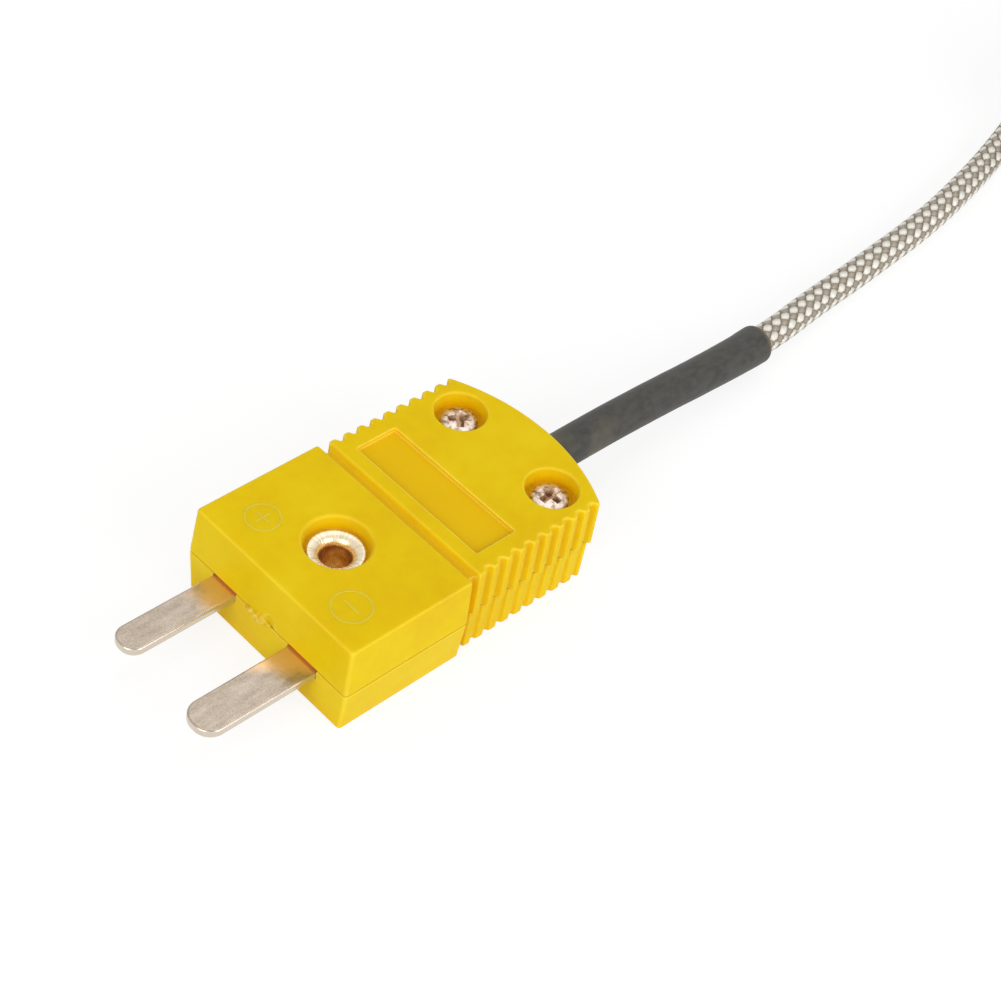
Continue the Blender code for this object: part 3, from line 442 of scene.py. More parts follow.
def waist_tool(face_z, outward):
    """The groove across a face, with soft lips and a flat floor."""
    deep = face_z - outward * WAIST_FACE_DEPTH
    line = softened(
        [
            (WAIST_Y - OVERRUN, face_z),
            (WAIST_Y, face_z),
            (WAIST_Y + WAIST_SLOPE, deep),
            (GRIP_Y - WAIST_SLOPE, deep),
            (GRIP_Y, face_z),
            (GRIP_Y + OVERRUN, face_z),
        ],
        [LIP_ROUND, LIP_ROUND, LIP_ROUND, LIP_ROUND],
    )[1:-1]
    clear = face_z + outward * OVERRUN
    first, last = (line[0][0], face_z + outward * LIFT), (line[-1][0], face_z + outward * LIFT)
    section = [(first[0], clear), first] + line[1:-1] + [last, (last[0], clear)]
    return stacked("waist_tool", [[(x, y, z) for y, z in section] for x in (-2 * NOSE_HALF, 2 * NOSE_HALF)])


def rounded_mouth(radius, mouth):
    """The open end of a counterbore's tool, as (radius, depth under the face) points."""
    points = [(radius + inset, depth) for depth, inset in quarter_round(mouth)]
    return points[:-1] + [(radius + mouth, -LIFT), (radius + mouth, -OVERRUN), (0, -OVERRUN)]


def sided(add):
    """One tool body for both sides of the plug."""
    shape = bmesh.new()
    for side in (-1, 1):
        add(shape, side)
    return made("pair_tool", shape)


def pocket_tool(z0, z1):
    """The two terminal pockets."""

    def add(shape, side):
        low, high = sorted((side * POCKET_X[0], side * POCKET_X[1]))
        prism(shape, rounded_rectangle(low, POCKET_FRONT_Y, high, POCKET_BACK_Y, POCKET_CORNER), z0, z1)

    return sided(add)


def passage_tool(z0, z1):
    """The space between the cover screws where the cores part."""
    outline = rounded_rectangle(-PASSAGE_HALF, PASSAGE_Y[0], PASSAGE_HALF, PASSAGE_Y[1], POCKET_CORNER)
    return stacked("passage_tool", [[(x, y, z) for x, y in outline] for z in (z0, z1)])


def sleeve_tool():
    """The round way out for the sleeve, half in each housing."""
    start = Matrix.Translation((0, PASSAGE_Y[1] - OVERRUN, LEAD_EXIT_Z))
    depth = BACK_Y - PASSAGE_Y[1] + 2 * OVERRUN
    radius = SLEEVE_RADIUS + LIFT
    profile = [(0, 0), (radius, 0), (radius, depth), (0, depth)]
    return spun("sleeve_tool", profile, ROUND_STEPS, start @ Matrix.Rotation(math.radians(-90), 4, "X"))


def eyelet_tool():
    """The eyelet's hole, with a soft counterbore in both faces."""
    lower, upper = EYELET_DEPTHS
    mouth = rounded_mouth(EYELET_COUNTERBORE, EYELET_MOUTH_ROUND)
    profile = mouth[::-1] + [(EYELET_COUNTERBORE, lower), (EYELET_HOLE, lower)]
    profile += [(EYELET_HOLE, TOP_Z - upper - EYELET_SINK), (EYELET_HOLE + EYELET_SINK, TOP_Z - upper)]
    profile += [(EYELET_COUNTERBORE, TOP_Z - upper)] + [(r, TOP_Z - depth) for r, depth in mouth]
    return spun("eyelet_tool", profile, ROUND_STEPS, Matrix.Translation((EYELET_X, EYELET_Y, 0)))


def plus(tree, first, second):
    return calculate(tree, "ADD", first, second)


def minus(tree, first, second):
    return calculate(tree, "SUBTRACT", first, second)


def over(tree, first, second):
    return calculate(tree, "DIVIDE", first, second)


def limited(tree, value):
    """A value held between 0 and 1."""
    return calculate(tree, "MINIMUM", calculate(tree, "MAXIMUM", value, 0.0), 1.0)


def split(tree, vector):
    """The X, Y and Z of a vector."""
    return add_node(tree, "ShaderNodeSeparateXYZ", {0: vector}).outputs


def ramp(tree, factor, stops):
    """A colour that changes with a factor, from (place, colour) stops."""
    node = tree.nodes.new("ShaderNodeValToRGB")
    band = node.color_ramp
    while len(band.elements) < len(stops):
        band.elements.new(0.5)
    for element, (spot, colour) in zip(band.elements, stops):
        element.position = spot
        element.color = (*colour, 1.0)
    feed(tree, node.inputs["Fac"], factor)
    return node.outputs["Color"]


def mixed(tree, factor, first, second):
    """Two colours mixed by a factor."""
    node = tree.nodes.new("ShaderNodeMix")
    node.data_type = "RGBA"
    feed(tree, node.inputs[0], factor)
    for socket, colour in ((node.inputs[6], first), (node.inputs[7], second)):
        feed(tree, socket, colour if isinstance(colour, bpy.types.NodeSocket) else (*colour, 1.0))
    return node.outputs[2]


def stretched_place(tree, scale=(1.0, 1.0, 1.0), middle=(0.0, 0.0, 0.0)):
    """Object coordinates about a middle point, stretched."""
    coordinates = tree.nodes.new("ShaderNodeTexCoord")
    mapping = add_node(
        tree, "ShaderNodeMapping",
        {
            "Location": [-m * s for m, s in zip(middle, scale)],
            "Scale": scale,
            "Vector": coordinates.outputs["Object"],
        },
    )
    return mapping.outputs[0]


def grain(tree, size, place=None, detail=2.0):
    """Soft noise from 0 to 1 whose lumps are about as big as size."""
    noise = add_node(
        tree, "ShaderNodeTexNoise",
        {"Scale": 1.0 / size, "Detail": detail, "Vector": place or stretched_place(tree)},
    )
    return noise.outputs["Fac"]


def specks(tree, spacing, share, radius):
    """1 inside small scattered dots and 0 elsewhere. share is how many of the cells have a dot."""
    cells = add_node(
        tree, "ShaderNodeTexVoronoi",
        {"Scale": 1.0 / spacing, "Vector": stretched_place(tree)},
    )
    draw = add_node(tree, "ShaderNodeSeparateColor", {0: cells.outputs["Color"]})
    chosen = calculate(tree, "GREATER_THAN", draw.outputs[0], 1.0 - share)
    near = calculate(tree, "LESS_THAN", cells.outputs["Distance"], radius / spacing)
    return times(tree, chosen, near)


def add_bump(tree, shader, height, depth):
    """Fine relief, depth being how deep a change of 1 in height is."""
    bump = add_node(tree, "ShaderNodeBump", {"Strength": 1.0, "Distance": depth, "Height": height})
    feed(tree, shader.inputs["Normal"], bump.outputs[0])


NYLON_DEEP = (0.755, 0.49, 0.001)
NYLON_PLAIN = (0.80, 0.555, 0.001)
NYLON_PALE = (0.84, 0.63, 0.008)
NYLON_DARK_SPECK = (0.16, 0.09, 0.01)
NYLON_HOLLOW_PAINTED_AMBER = (0.98, 0.55, 0.001)
NYLON_SUNK_PAINTED_SHADE = (0.80, 0.49, 0.001)
NYLON_EDGE_HIGHLIGHT = (0.97, 0.84, 0.20)
HOLLOW_SHADE_REACH = 2.2 * MM
EDGE_HIGHLIGHT_REACH = 0.16 * MM
BEVEL_SAMPLES = 6
SUNK_SHADE_FROM = 0.1 * MM
SUNK_SHADE_SPAN = 0.2 * MM


def hollow_shade_mask(tree, reach):
    """0 in the open and rising to 1 deep in a hollow: the mask for the painted shade of hollows."""
    open_sky = add_node(tree, "ShaderNodeAmbientOcclusion", {"Distance": reach})
    return minus(tree, 1.0, open_sky.outputs["AO"])


def edge_highlight_mask(tree, reach, gain):
    """0 on flat stretches and up to 1 where the surface turns within a short reach: the mask for a painted
    highlight along edges.
    """
    bevel = add_node(tree, "ShaderNodeBevel", {"Radius": reach}, samples=BEVEL_SAMPLES)
    true_normal = tree.nodes.new("ShaderNodeNewGeometry")
    same = add_node(
        tree, "ShaderNodeVectorMath",
        {0: bevel.outputs[0], 1: true_normal.outputs["True Normal"]},
        operation="DOT_PRODUCT",
    )
    turned_away = minus(tree, 1.0, same.outputs["Value"])
    return calculate(tree, "MINIMUM", times(tree, turned_away, gain), 1.0)


nylon, tree, shader = new_finish("yellow_nylon")
clouds = grain(tree, 5.0 * MM, detail=3.0)
flow = grain(tree, 0.9 * MM, detail=3.0)
blotches = plus(tree, times(tree, clouds, 0.7), times(tree, flow, 0.3))
colour = ramp(tree, blotches, [(0.28, NYLON_DEEP), (0.5, NYLON_PLAIN), (0.8, NYLON_PALE)])
colour = mixed(tree, times(tree, specks(tree, 1.1 * MM, 0.10, 0.045 * MM), 0.6), colour, NYLON_PALE)
colour = mixed(tree, specks(tree, 2.3 * MM, 0.10, 0.05 * MM), colour, NYLON_DARK_SPECK)
# Painted shade: hollows found by ambient occlusion are painted a deeper, brighter amber, standing in for how
# shade looks in the translucent nylon.
hollow = hollow_shade_mask(tree, HOLLOW_SHADE_REACH)
hollow = calculate(tree, "MINIMUM", times(tree, hollow, 1.2), 1.0)
# Painted shade: upward faces sunk below the top, such as recess floors, are painted a darker orange.
channels = split(tree, stretched_place(tree))
facing_up = split(tree, tree.nodes.new("ShaderNodeNewGeometry").outputs["True Normal"])
below_top = limited(tree, over(tree, minus(tree, TOP_Z - SUNK_SHADE_FROM, channels["Z"]), SUNK_SHADE_SPAN))
sunk_shade = times(tree, below_top, calculate(tree, "GREATER_THAN", facing_up["Z"], 0.9))
# Painted highlight: every edge is painted a paler yellow, standing in for light catching the rounded edges,
# and held back in hollows.
edge = edge_highlight_mask(tree, EDGE_HIGHLIGHT_REACH, 9.0)
edge = times(tree, edge, minus(tree, 1.0, times(tree, hollow, 0.7)))
deep = times(tree, hollow, hollow)
colour = mixed(tree, times(tree, deep, 0.85), colour, NYLON_HOLLOW_PAINTED_AMBER)
colour = mixed(tree, times(tree, sunk_shade, 0.8), colour, NYLON_SUNK_PAINTED_SHADE)
edge_highlight_share = times(tree, edge, 0.9)
edge_highlight_share.node.name = "edge_highlight_share"
colour = mixed(tree, edge_highlight_share, colour, NYLON_EDGE_HIGHLIGHT)
feed(tree, shader.inputs["Base Color"], colour)
roughness = plus(tree, 0.36, times(tree, flow, 0.16))
fill(tree, shader, {
    "Roughness": roughness,
    "Specular IOR Level": 0.09,
    "Subsurface Weight": 0.3,
    "Subsurface Radius": (1.0, 0.6, 0.05),
    "Subsurface Scale": 0.8 * MM,
})
skin = plus(tree, flow, times(tree, grain(tree, 0.12 * MM), 0.35))
add_bump(tree, shader, skin, 0.018 * MM)

lower_sizes = (NOSE_HALF, LOWER_GRIP_HALF, FRONT_Y, BACK_SHELF, LOWER_GULLET_DEPTH)
lower_face_sizes = (
    NOSE_HALF - LOWER_NOSE_DRAFT,
    LOWER_GRIP_HALF - GRIP_DRAFT,
    FRONT_Y + LOWER_FRONT_DRAFT,
    BACK_SHELF + GRIP_DRAFT,
    LOWER_GULLET_DEPTH,
)
lower_housing = housing("lower_housing", LOWER_PARTING_Z, 0.0, lower_sizes, lower_face_sizes, nylon)


def boxes_on_pins(spare, front, back, z0, z1):
    """One tool body with a box on each pin, wider than the pin by spare on each side."""

    def add(shape, side):
        middle, width = PINS["negative" if side > 0 else "positive"]
        low, high = middle - width / 2 - spare, middle + width / 2 + spare
        prism(shape, [(low, front), (high, front), (high, back), (low, back)], z0, z1)

    return sided(add)


def pair_of_rounds(x, y, radius, z0, z1, steps=SMALL_ROUND_STEPS):
    """One tool body of two upright cylinders, one on each side of the plug."""
    return sided(lambda shape, side: prism(shape, circle(side * x, y, radius, steps), z0, z1))


slot_z, slot_back = PIN_BOTTOM_Z - PIN_SLOT_CLEARANCE, POCKET_FRONT_Y + OVERRUN
for tool in (
    sleeve_tool(),
    eyelet_tool(),
    waist_tool(0.0, -1),
    boxes_on_pins(PIN_SLOT_CLEARANCE, FRONT_Y - OVERRUN, slot_back, slot_z, TOP_Z),
    pocket_tool(POCKET_FLOOR_Z, TOP_Z),
    passage_tool(PASSAGE_Z[0], TOP_Z),
    pair_of_rounds(WELL_X, WELL_Y, WELL_RADIUS, WELL_FLOOR_Z, LOWER_PARTING_Z),
    pair_of_rounds(COVER_SCREW_X, COVER_SCREW_Y, INSERT_SEAT, INSERT_SEAT_FLOOR, TOP_Z, INSERT_SEAT_STEPS),
    pair_of_rounds(PEG_X, PEG_Y, PEG_RADIUS + PEG_HOLE_GAP, PEG_FOOT_Z - PEG_HOLE_SPARE, TOP_Z),
):
    carve(lower_housing, tool)
settle(lower_housing)
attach(lower_housing, "root")
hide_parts("bottom_shell")

# Flat pins
# Two solid strips of thermocouple alloy, blanked from sheet with coined edges and bright from tumbling.
# The positive one is narrower and sits a little farther back. A warm amber is painted near their roots as a
# painted reflection of the yellow housing, and their sides and edges are painted paler as painted light.
PIN_TIP_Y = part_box("positive_pin")[0][1]
PIN_STAND_OUT = {"positive": -0.13 * MM, "negative": 0.22 * MM}
PIN_SHOULDER_Y = POCKET_FRONT_Y + 0.3 * MM
PIN_END_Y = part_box("positive_pin")[1][1]
PIN_TIP_ROUNDING = 0.92
PIN_EDGE_ROUND = 0.17 * MM
PAD_HALF = 2.0 * MM
PAD_CORNER = 0.6 * MM
PAD_HOLE = 1.1 * MM
PAD_HOLE_STEPS = 40
TIP_STEPS = 20
PIN_STRETCH = (1.0, 0.25, 1.0)
ALLOY_PALE = (0.50, 0.425, 0.35)
ALLOY_PLAIN = (0.39, 0.325, 0.26)
ALLOY_DULL = (0.26, 0.21, 0.16)
ALLOY_SIDE_PAINTED_LIGHT = (0.66, 0.58, 0.48)
ALLOY_EDGE_HIGHLIGHT = (0.88, 0.80, 0.70)
AMBER_REFLECTION = (0.84, 0.57, 0.33)
REFLECTION_LENGTH = 2.7 * MM
REFLECTION_LEAN = 1.3
COINED_HIGHLIGHT_REACH = 0.12 * MM

alloy, tree, shader = new_finish("pin_alloy")
drawn = grain(tree, 0.5 * MM, stretched_place(tree, PIN_STRETCH), 4.0)
spots = grain(tree, 0.1 * MM, detail=3.0)
wear = plus(tree, times(tree, drawn, 0.45), times(tree, spots, 0.55))
colour = ramp(tree, wear, [(0.3, ALLOY_DULL), (0.5, ALLOY_PLAIN), (0.68, ALLOY_PALE)])
channels = split(tree, stretched_place(tree))
# Painted reflection: an amber that grows towards the roots, ragged and leaning inwards on the negative pin,
# stands in for the yellow housing seen in the metal.
from_root = over(tree, minus(tree, channels["Y"], FRONT_Y), -REFLECTION_LENGTH)
ragged = times(tree, grain(tree, 1.3 * MM, detail=3.0), 1.1)
amber_reflection = minus(tree, plus(tree, 0.75, ragged), from_root)
middle, width = PINS["negative"]
inward = over(tree, minus(tree, middle, channels["X"]), width)
on_negative = calculate(tree, "GREATER_THAN", channels["X"], 0.0)
amber_reflection = plus(tree, amber_reflection, times(tree, times(tree, inward, REFLECTION_LEAN), on_negative))
amber_reflection = times(tree, calculate(tree, "SMOOTH_MIN", amber_reflection, 1.0, 0.3), 0.8)
reflection_amount = ramp(tree, amber_reflection, [(0.25, (0.0, 0.0, 0.0)), (0.75, (0.8, 0.8, 0.8))])
colour = mixed(tree, reflection_amount, colour, AMBER_REFLECTION)
# Painted light: faces of the pins that don't face up are painted paler, as light falls on their sides.
facing = split(tree, tree.nodes.new("ShaderNodeNewGeometry").outputs["True Normal"])
colour = mixed(tree, calculate(tree, "LESS_THAN", facing["Z"], 0.6), colour, ALLOY_SIDE_PAINTED_LIGHT)
# Painted highlight: the coined edges of the pins are painted a bright cream, standing in for light caught
# along them.
coined_highlight = times(tree, edge_highlight_mask(tree, COINED_HIGHLIGHT_REACH, 6.0), 0.9)
fill(tree, shader, {
    "Base Color": mixed(tree, coined_highlight, colour, ALLOY_EDGE_HIGHLIGHT),
    "Metallic": 0.85,
    "Roughness": plus(tree, 0.12, times(tree, spots, 0.2)),
})
add_bump(tree, shader, wear, 0.006 * MM)


def pin_plan(side, inset):
    """One pin in plan: round tip, straight blade, shoulders and the pad for its terminal screw."""
    sign = "negative" if side > 0 else "positive"
    middle, width = PINS[sign]
    half = width / 2 - inset
    tip, tip_y = half * PIN_TIP_ROUNDING, PIN_TIP_Y - PIN_STAND_OUT[sign] + inset
    shoulder_y, pad_back = PIN_SHOULDER_Y + inset, PIN_END_Y - inset
    pad_left, pad_right = side * WELL_X - PAD_HALF + inset, side * WELL_X + PAD_HALF - inset
    left_tip = arc(middle - half + tip, tip_y + tip, tip, 180, 270, TIP_STEPS)
    right_tip = arc(middle + half - tip, tip_y + tip, tip, 270, 360, TIP_STEPS)
    return left_tip + right_tip + [
        (middle + half, shoulder_y),
        (pad_right, shoulder_y),
        (pad_right, pad_back - PAD_CORNER),
        (pad_right - PAD_CORNER, pad_back),
        (pad_left + PAD_CORNER, pad_back),
        (pad_left, pad_back - PAD_CORNER),
        (pad_left, shoulder_y),
        (middle - half, shoulder_y),
    ]


for sign, side in (("positive", -1), ("negative", 1)):
    edge = quarter_round(PIN_EDGE_ROUND)
    rings = [(PIN_BOTTOM_Z + depth, inset) for depth, inset in reversed(edge)]
    rings += [(PIN_TOP_Z - depth, inset) for depth, inset in edge]
    blank = [[(x, y, z) for x, y in pin_plan(side, inset)] for z, inset in rings]
    pin = stacked(sign + "_flat_pin", blank, alloy)
    hole = circle(side * WELL_X, WELL_Y, PAD_HOLE, PAD_HOLE_STEPS)
    carve(pin, stacked("screw_hole", [[(x, y, z) for x, y in hole] for z in (0.0, TOP_Z)]))
    settle(pin)
    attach(pin, "root")
    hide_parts(sign + "_pin")

# Terminals inside the plug
# A slotted screw and a washer clamp each bare wire on the tail of its pin, and a glass sleeve covers the
# wire from there to the lead. Two brass inserts in the lower housing take the cover screws.
STEEL_PLAIN = (0.58, 0.57, 0.55)
STEEL_DULL = (0.40, 0.385, 0.36)
BRASS_PLAIN = (0.72, 0.53, 0.22)
BRASS_DULL = (0.46, 0.31, 0.11)
GLASS_PALE = (0.80, 0.76, 0.66)
GLASS_SHADE = (0.52, 0.46, 0.36)


def metal(name, plain, dull, size, roughness, depth):
    """A bright metal with fine uneven wear."""
    finish, tree, shader = new_finish(name)
    wear = grain(tree, size, detail=4.0)
    fill(tree, shader, {
        "Base Color": ramp(tree, wear, [(0.34, dull), (0.58, plain)]),
        "Metallic": 1.0,
        "Roughness": plus(tree, roughness, times(tree, wear, 0.18)),
    })
    add_bump(tree, shader, wear, depth)
    return finish


def glass_sleeving():
    """Woven glass yarn, soaked in varnish."""
    finish, tree, shader = new_finish("glass_sleeving")
    yarn = add_node(
        tree, "ShaderNodeTexWave",
        {"Scale": 1.0 / (1.2 * MM), "Distortion": 2.0, "Vector": stretched_place(tree)},
    )
    fill(tree, shader, {
        "Base Color": ramp(tree, yarn.outputs["Fac"], [(0.2, GLASS_SHADE), (0.7, GLASS_PALE)]),
        "Roughness": 0.62,
    })
    add_bump(tree, shader, yarn.outputs["Fac"], 0.03 * MM)
    return finish


terminal_steel = metal("terminal_steel", STEEL_PLAIN, STEEL_DULL, 0.3 * MM, 0.22, 0.005 * MM)
insert_brass = metal("insert_brass", BRASS_PLAIN, BRASS_DULL, 0.4 * MM, 0.25, 0.006 * MM)
bare_wire = metal("bare_wire", ALLOY_PALE, ALLOY_DULL, 0.2 * MM, 0.25, 0.003 * MM)
sleeving = glass_sleeving()
inner_finishes = {"screw_insert_left": insert_brass, "screw_insert_right": insert_brass}
for sign in ("positive", "negative"):
    inner_finishes[sign + "_terminal_screw"] = terminal_steel
    inner_finishes[sign + "_clamp_washer"] = terminal_steel
    inner_finishes[sign + "_conductor"] = bare_wire
    inner_finishes[sign + "_insulation"] = sleeving
for node, finish in inner_finishes.items():
    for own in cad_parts[node].material_slots:
        own.material = finish

# Upper housing
# The moulded cover of the plug has two screw wells at the back, a recess for a label across the grip and a
# hole for the nose eyelet. It is the same nylon as the lower housing.
UPPER_NOSE_DRAFT = 0.18 * MM
UPPER_FRONT_DRAFT = 0.25 * MM
UPPER_SCREW_WELL = 1.94 * MM
SCREW_WELL_FLOOR_Z = 6.2 * MM
SCREW_WELL_MOUTH_ROUND = 0.16 * MM
SHANK_HOLE = 0.85 * MM
LABEL_HALF = 6.15 * MM
LABEL_FRONT_Y = GRIP_Y + 1.13 * MM
LABEL_LENGTH = 3.6 * MM
LABEL_DEPTH = 0.35 * MM
LABEL_CORNER = 0.16 * MM
LABEL_EDGE_ROUND = 0.05 * MM
POCKET_TOP_Z = 6.1 * MM
GATE_X = 0.35 * MM
GATE_Z = 3.95 * MM
GATE_RADIUS = 0.62 * MM
GATE_LEAN = 0.02 * MM
GATE_SHAPE = ((-0.2, 1.0), (0.0, 1.0), (0.09, 0.86), (0.13, 0.5))
GATE_STEPS = 20
PIN_LIP_Y = (FRONT_Y + 0.32 * MM, FRONT_Y + 3.0 * MM)

upper_sizes = (NOSE_HALF, UPPER_GRIP_HALF, FRONT_Y, 0.0, UPPER_GULLET_DEPTH)
upper_face_sizes = (
    NOSE_HALF - UPPER_NOSE_DRAFT,
    UPPER_GRIP_HALF - GRIP_DRAFT,
    FRONT_Y + UPPER_FRONT_DRAFT,
    GRIP_DRAFT,
    UPPER_GULLET_DEPTH,
)
upper_housing = housing("upper_housing", UPPER_PARTING_Z, TOP_Z, upper_sizes, upper_face_sizes, nylon)


def gate_tool():
    """The rough dimple where the moulding was broken off its gate."""
    rings = []
    for depth, size in GATE_SHAPE:
        outline = circle(GATE_X, GATE_Z, GATE_RADIUS * size, GATE_STEPS)
        rings.append([(x, FRONT_Y + GATE_LEAN + depth * MM, z) for x, z in outline])
    return stacked("gate_tool", rings)


def cover_screw_wells(shape, side):
    """A well for the head with a soft mouth, over a clear hole for the shank."""
    mouth = [(r, TOP_Z - depth) for r, depth in rounded_mouth(UPPER_SCREW_WELL, SCREW_WELL_MOUTH_ROUND)]
    floor = SCREW_WELL_FLOOR_Z
    profile = [(0, 0), (SHANK_HOLE, 0), (SHANK_HOLE, floor), (UPPER_SCREW_WELL, floor)]
    turned(shape, profile + mouth, ROUND_STEPS, Matrix.Translation((side * COVER_SCREW_X, COVER_SCREW_Y, 0)))


def label_tool():
    """The shallow recess for a label, with a hair of rounding at its mouth."""

    def ring(z, out):
        outline = rounded_rectangle(
            -LABEL_HALF - out, LABEL_FRONT_Y - out, LABEL_HALF + out, LABEL_FRONT_Y + LABEL_LENGTH + out,
            LABEL_CORNER + out,
        )
        return [(x, y, z) for x, y in outline]

    rings = [ring(TOP_Z - LABEL_DEPTH, -LABEL_EDGE_ROUND), ring(TOP_Z - LABEL_DEPTH + LABEL_EDGE_ROUND, 0.0)]
    rings += [ring(TOP_Z - depth, inset) for depth, inset in quarter_round(LABEL_EDGE_ROUND, 3)[:-1]]
    rings += [ring(TOP_Z + LIFT, LABEL_EDGE_ROUND), ring(TOP_Z + OVERRUN, LABEL_EDGE_ROUND)]
    return stacked("label_tool", rings)


pegs = pair_of_rounds(PEG_X, PEG_Y, PEG_RADIUS, PEG_FOOT_Z, TOP_Z - OVERRUN)
lips_on_pins = boxes_on_pins(0.0, *PIN_LIP_Y, PIN_TOP_Z + LIFT, TOP_Z - OVERRUN)
carve(upper_housing, pegs, "UNION")
carve(upper_housing, lips_on_pins, "UNION")
for tool in (
    sleeve_tool(),
    eyelet_tool(),
    waist_tool(TOP_Z, 1),
    sided(cover_screw_wells),
    label_tool(),
    gate_tool(),
    pocket_tool(0.0, POCKET_TOP_Z),
    passage_tool(0.0, PASSAGE_Z[1]),
):
    carve(upper_housing, tool)
settle(upper_housing)
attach(upper_housing, "root")
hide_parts("top_shell")

# Polarity signs and moulding flash
# The mould raises a thin ring with a + at the narrow pin and one with a - at the wide pin. It leaves a little
# torn flash at the parting line between the pins, where the nylon was fed in.
SIGN_HEIGHT = 0.018 * MM
SIGN_SINK = 0.05 * MM
SIGN_LINE = 0.12 * MM
SIGN_SLOPE = 0.03 * MM
SIGN_RINGS = {"plus": (-4.8 * MM, -4.9 * MM, 1.24 * MM), "minus": (4.8 * MM, -5.35 * MM, 1.4 * MM)}
SIGN_ARM_SHARE = 0.5
SIGN_EDGE_HIGHLIGHT_SHARE = 0.55
FLASH_X = (-2.1 * MM, 0.5 * MM)
FLASH_POINTS = 31
FLASH_LEAST = 0.02 * MM
FLASH_ROOT = 0.15 * MM
FLASH_AMBER = (0.68, 0.38, 0.01)
FLASH_PALE = (0.88, 0.74, 0.24)

signs = bmesh.new()
low, high = TOP_Z - SIGN_SINK, TOP_Z + SIGN_HEIGHT
for word, (x, y, radius) in SIGN_RINGS.items():
    half_line, slope = SIGN_LINE / 2, SIGN_SLOPE
    section = [
        (radius - half_line - slope, low),
        (radius + half_line + slope, low),
        (radius + half_line, high),
        (radius - half_line, high),
    ]
    turned(signs, section, ROUND_STEPS, Matrix.Translation((x, y, 0)), closed=True)
    arm = radius * SIGN_ARM_SHARE
    bars = [(arm, half_line)] if word == "minus" else [(arm, half_line), (half_line, arm)]
    for half_x, half_y in bars:
        rings = []
        for z, out in ((low, slope), (high, 0.0)):
            box = rounded_rectangle(
                x - half_x - out, y - half_y - out, x + half_x + out, y + half_y + out, half_line * 0.9, 3
            )
            rings.append([(px, py, z) for px, py in box])
        stack(signs, rings)
# The raised signs get the painted edge highlight at a strength of their own.
sign_nylon = nylon.copy()
sign_nylon.name = "raised_nylon"
sign_nylon.node_tree.nodes["edge_highlight_share"].inputs[1].default_value = SIGN_EDGE_HIGHLIGHT_SHARE
polarity_signs = made("polarity_signs", signs, sign_nylon)
settle(polarity_signs)
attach(polarity_signs, "root")

flash_nylon, tree, shader = new_finish("torn_nylon")
shreds = grain(tree, 0.4 * MM, detail=3.0)
fill(tree, shader, {
    "Base Color": ramp(tree, shreds, [(0.34, FLASH_AMBER), (0.5, NYLON_PLAIN), (0.74, FLASH_PALE)]),
    "Roughness": 0.5,
    "Subsurface Weight": 0.2,
    "Subsurface Scale": 0.5 * MM,
})
add_bump(tree, shader, shreds, 0.05 * MM)
flash_z = (LOWER_PARTING_Z + UPPER_PARTING_Z) / 2
back = FRONT_Y + FLASH_ROOT
rings = []
for i in range(FLASH_POINTS):
    t = i / (FLASH_POINTS - 1)
    x = FLASH_X[0] + (FLASH_X[1] - FLASH_X[0]) * t
    swell = math.sin(math.pi * t) ** 0.6
    out = (0.27 + 0.15 * math.sin(9.0 * t + 1.0) * math.sin(23.0 * t)) * swell * MM + FLASH_LEAST
    peak = 0.12 * math.exp(-((t - 0.75) / 0.1) ** 2)
    tall = (0.25 + 0.13 * math.sin(13.0 * t + 0.6) + peak) * swell * MM + FLASH_LEAST
    rings.append([
        (x, back, flash_z - tall),
        (x, FRONT_Y - out * 0.6, flash_z - tall),
        (x, FRONT_Y - out, flash_z - tall * 0.2),
        (x, FRONT_Y - out * 0.7, flash_z + tall * 0.8),
        (x, back, flash_z + tall),
    ])
mould_flash = stacked("mould_flash", rings, flash_nylon)
settle(mould_flash, 60)
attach(mould_flash, "root")

# Nose eyelet
# A drawn brass tube, tinned, that is pushed through both housings. A press flares its ends into trumpets,
# which draws the halves together and leaves fine radial scratches on the bright rim.
EYELET_BORE = 1.03 * MM
EYELET_WALL = 0.25 * MM
EYELET_RIM = 1.93 * MM
EYELET_UPPER_Z = TOP_Z - 1.80 * MM
EYELET_LOWER_Z = 1.55 * MM
RIVET_STEPS = 96
FLARE_STEPS = 14
UNDER_STEPS = 10
LIP_STEPS = 8
TIN_PALE = (0.80, 0.71, 0.54)
TIN_WARM = (0.64, 0.52, 0.34)
BORE_BROWN = (0.62, 0.30, 0.07)
BORE_GOLD = (0.90, 0.62, 0.24)
RADIAL_SCRATCHES = 12.0
BORE_BLEND = 0.45 * MM


def distance_from_axis(tree, x, y):
    """How far a place is from an upright axis."""
    return calculate(tree, "SQRT", plus(tree, times(tree, x, x), times(tree, y, y)))


eyelet_finish, tree, shader = new_finish("eyelet_brass")
channels = split(tree, stretched_place(tree, middle=(EYELET_X, EYELET_Y, 0.0)))
x, y = channels[0], channels[1]
away = distance_from_axis(tree, x, y)
spoke = tree.nodes.new("ShaderNodeCombineXYZ")
for socket, part in (("X", x), ("Y", y)):
    feed(tree, spoke.inputs[socket], over(tree, times(tree, part, RADIAL_SCRATCHES), away))
scratches = add_node(tree, "ShaderNodeTexNoise", {"Scale": 1.0, "Detail": 3.0, "Vector": spoke.outputs[0]})
stains = grain(tree, 0.5 * MM, detail=4.0)
rim = ramp(tree, scratches.outputs["Fac"], [(0.32, TIN_WARM), (0.55, TIN_PALE)])
bore = ramp(tree, stains, [(0.35, BORE_BROWN), (0.65, BORE_GOLD)])
inward = over(tree, minus(tree, away, EYELET_BORE), BORE_BLEND)
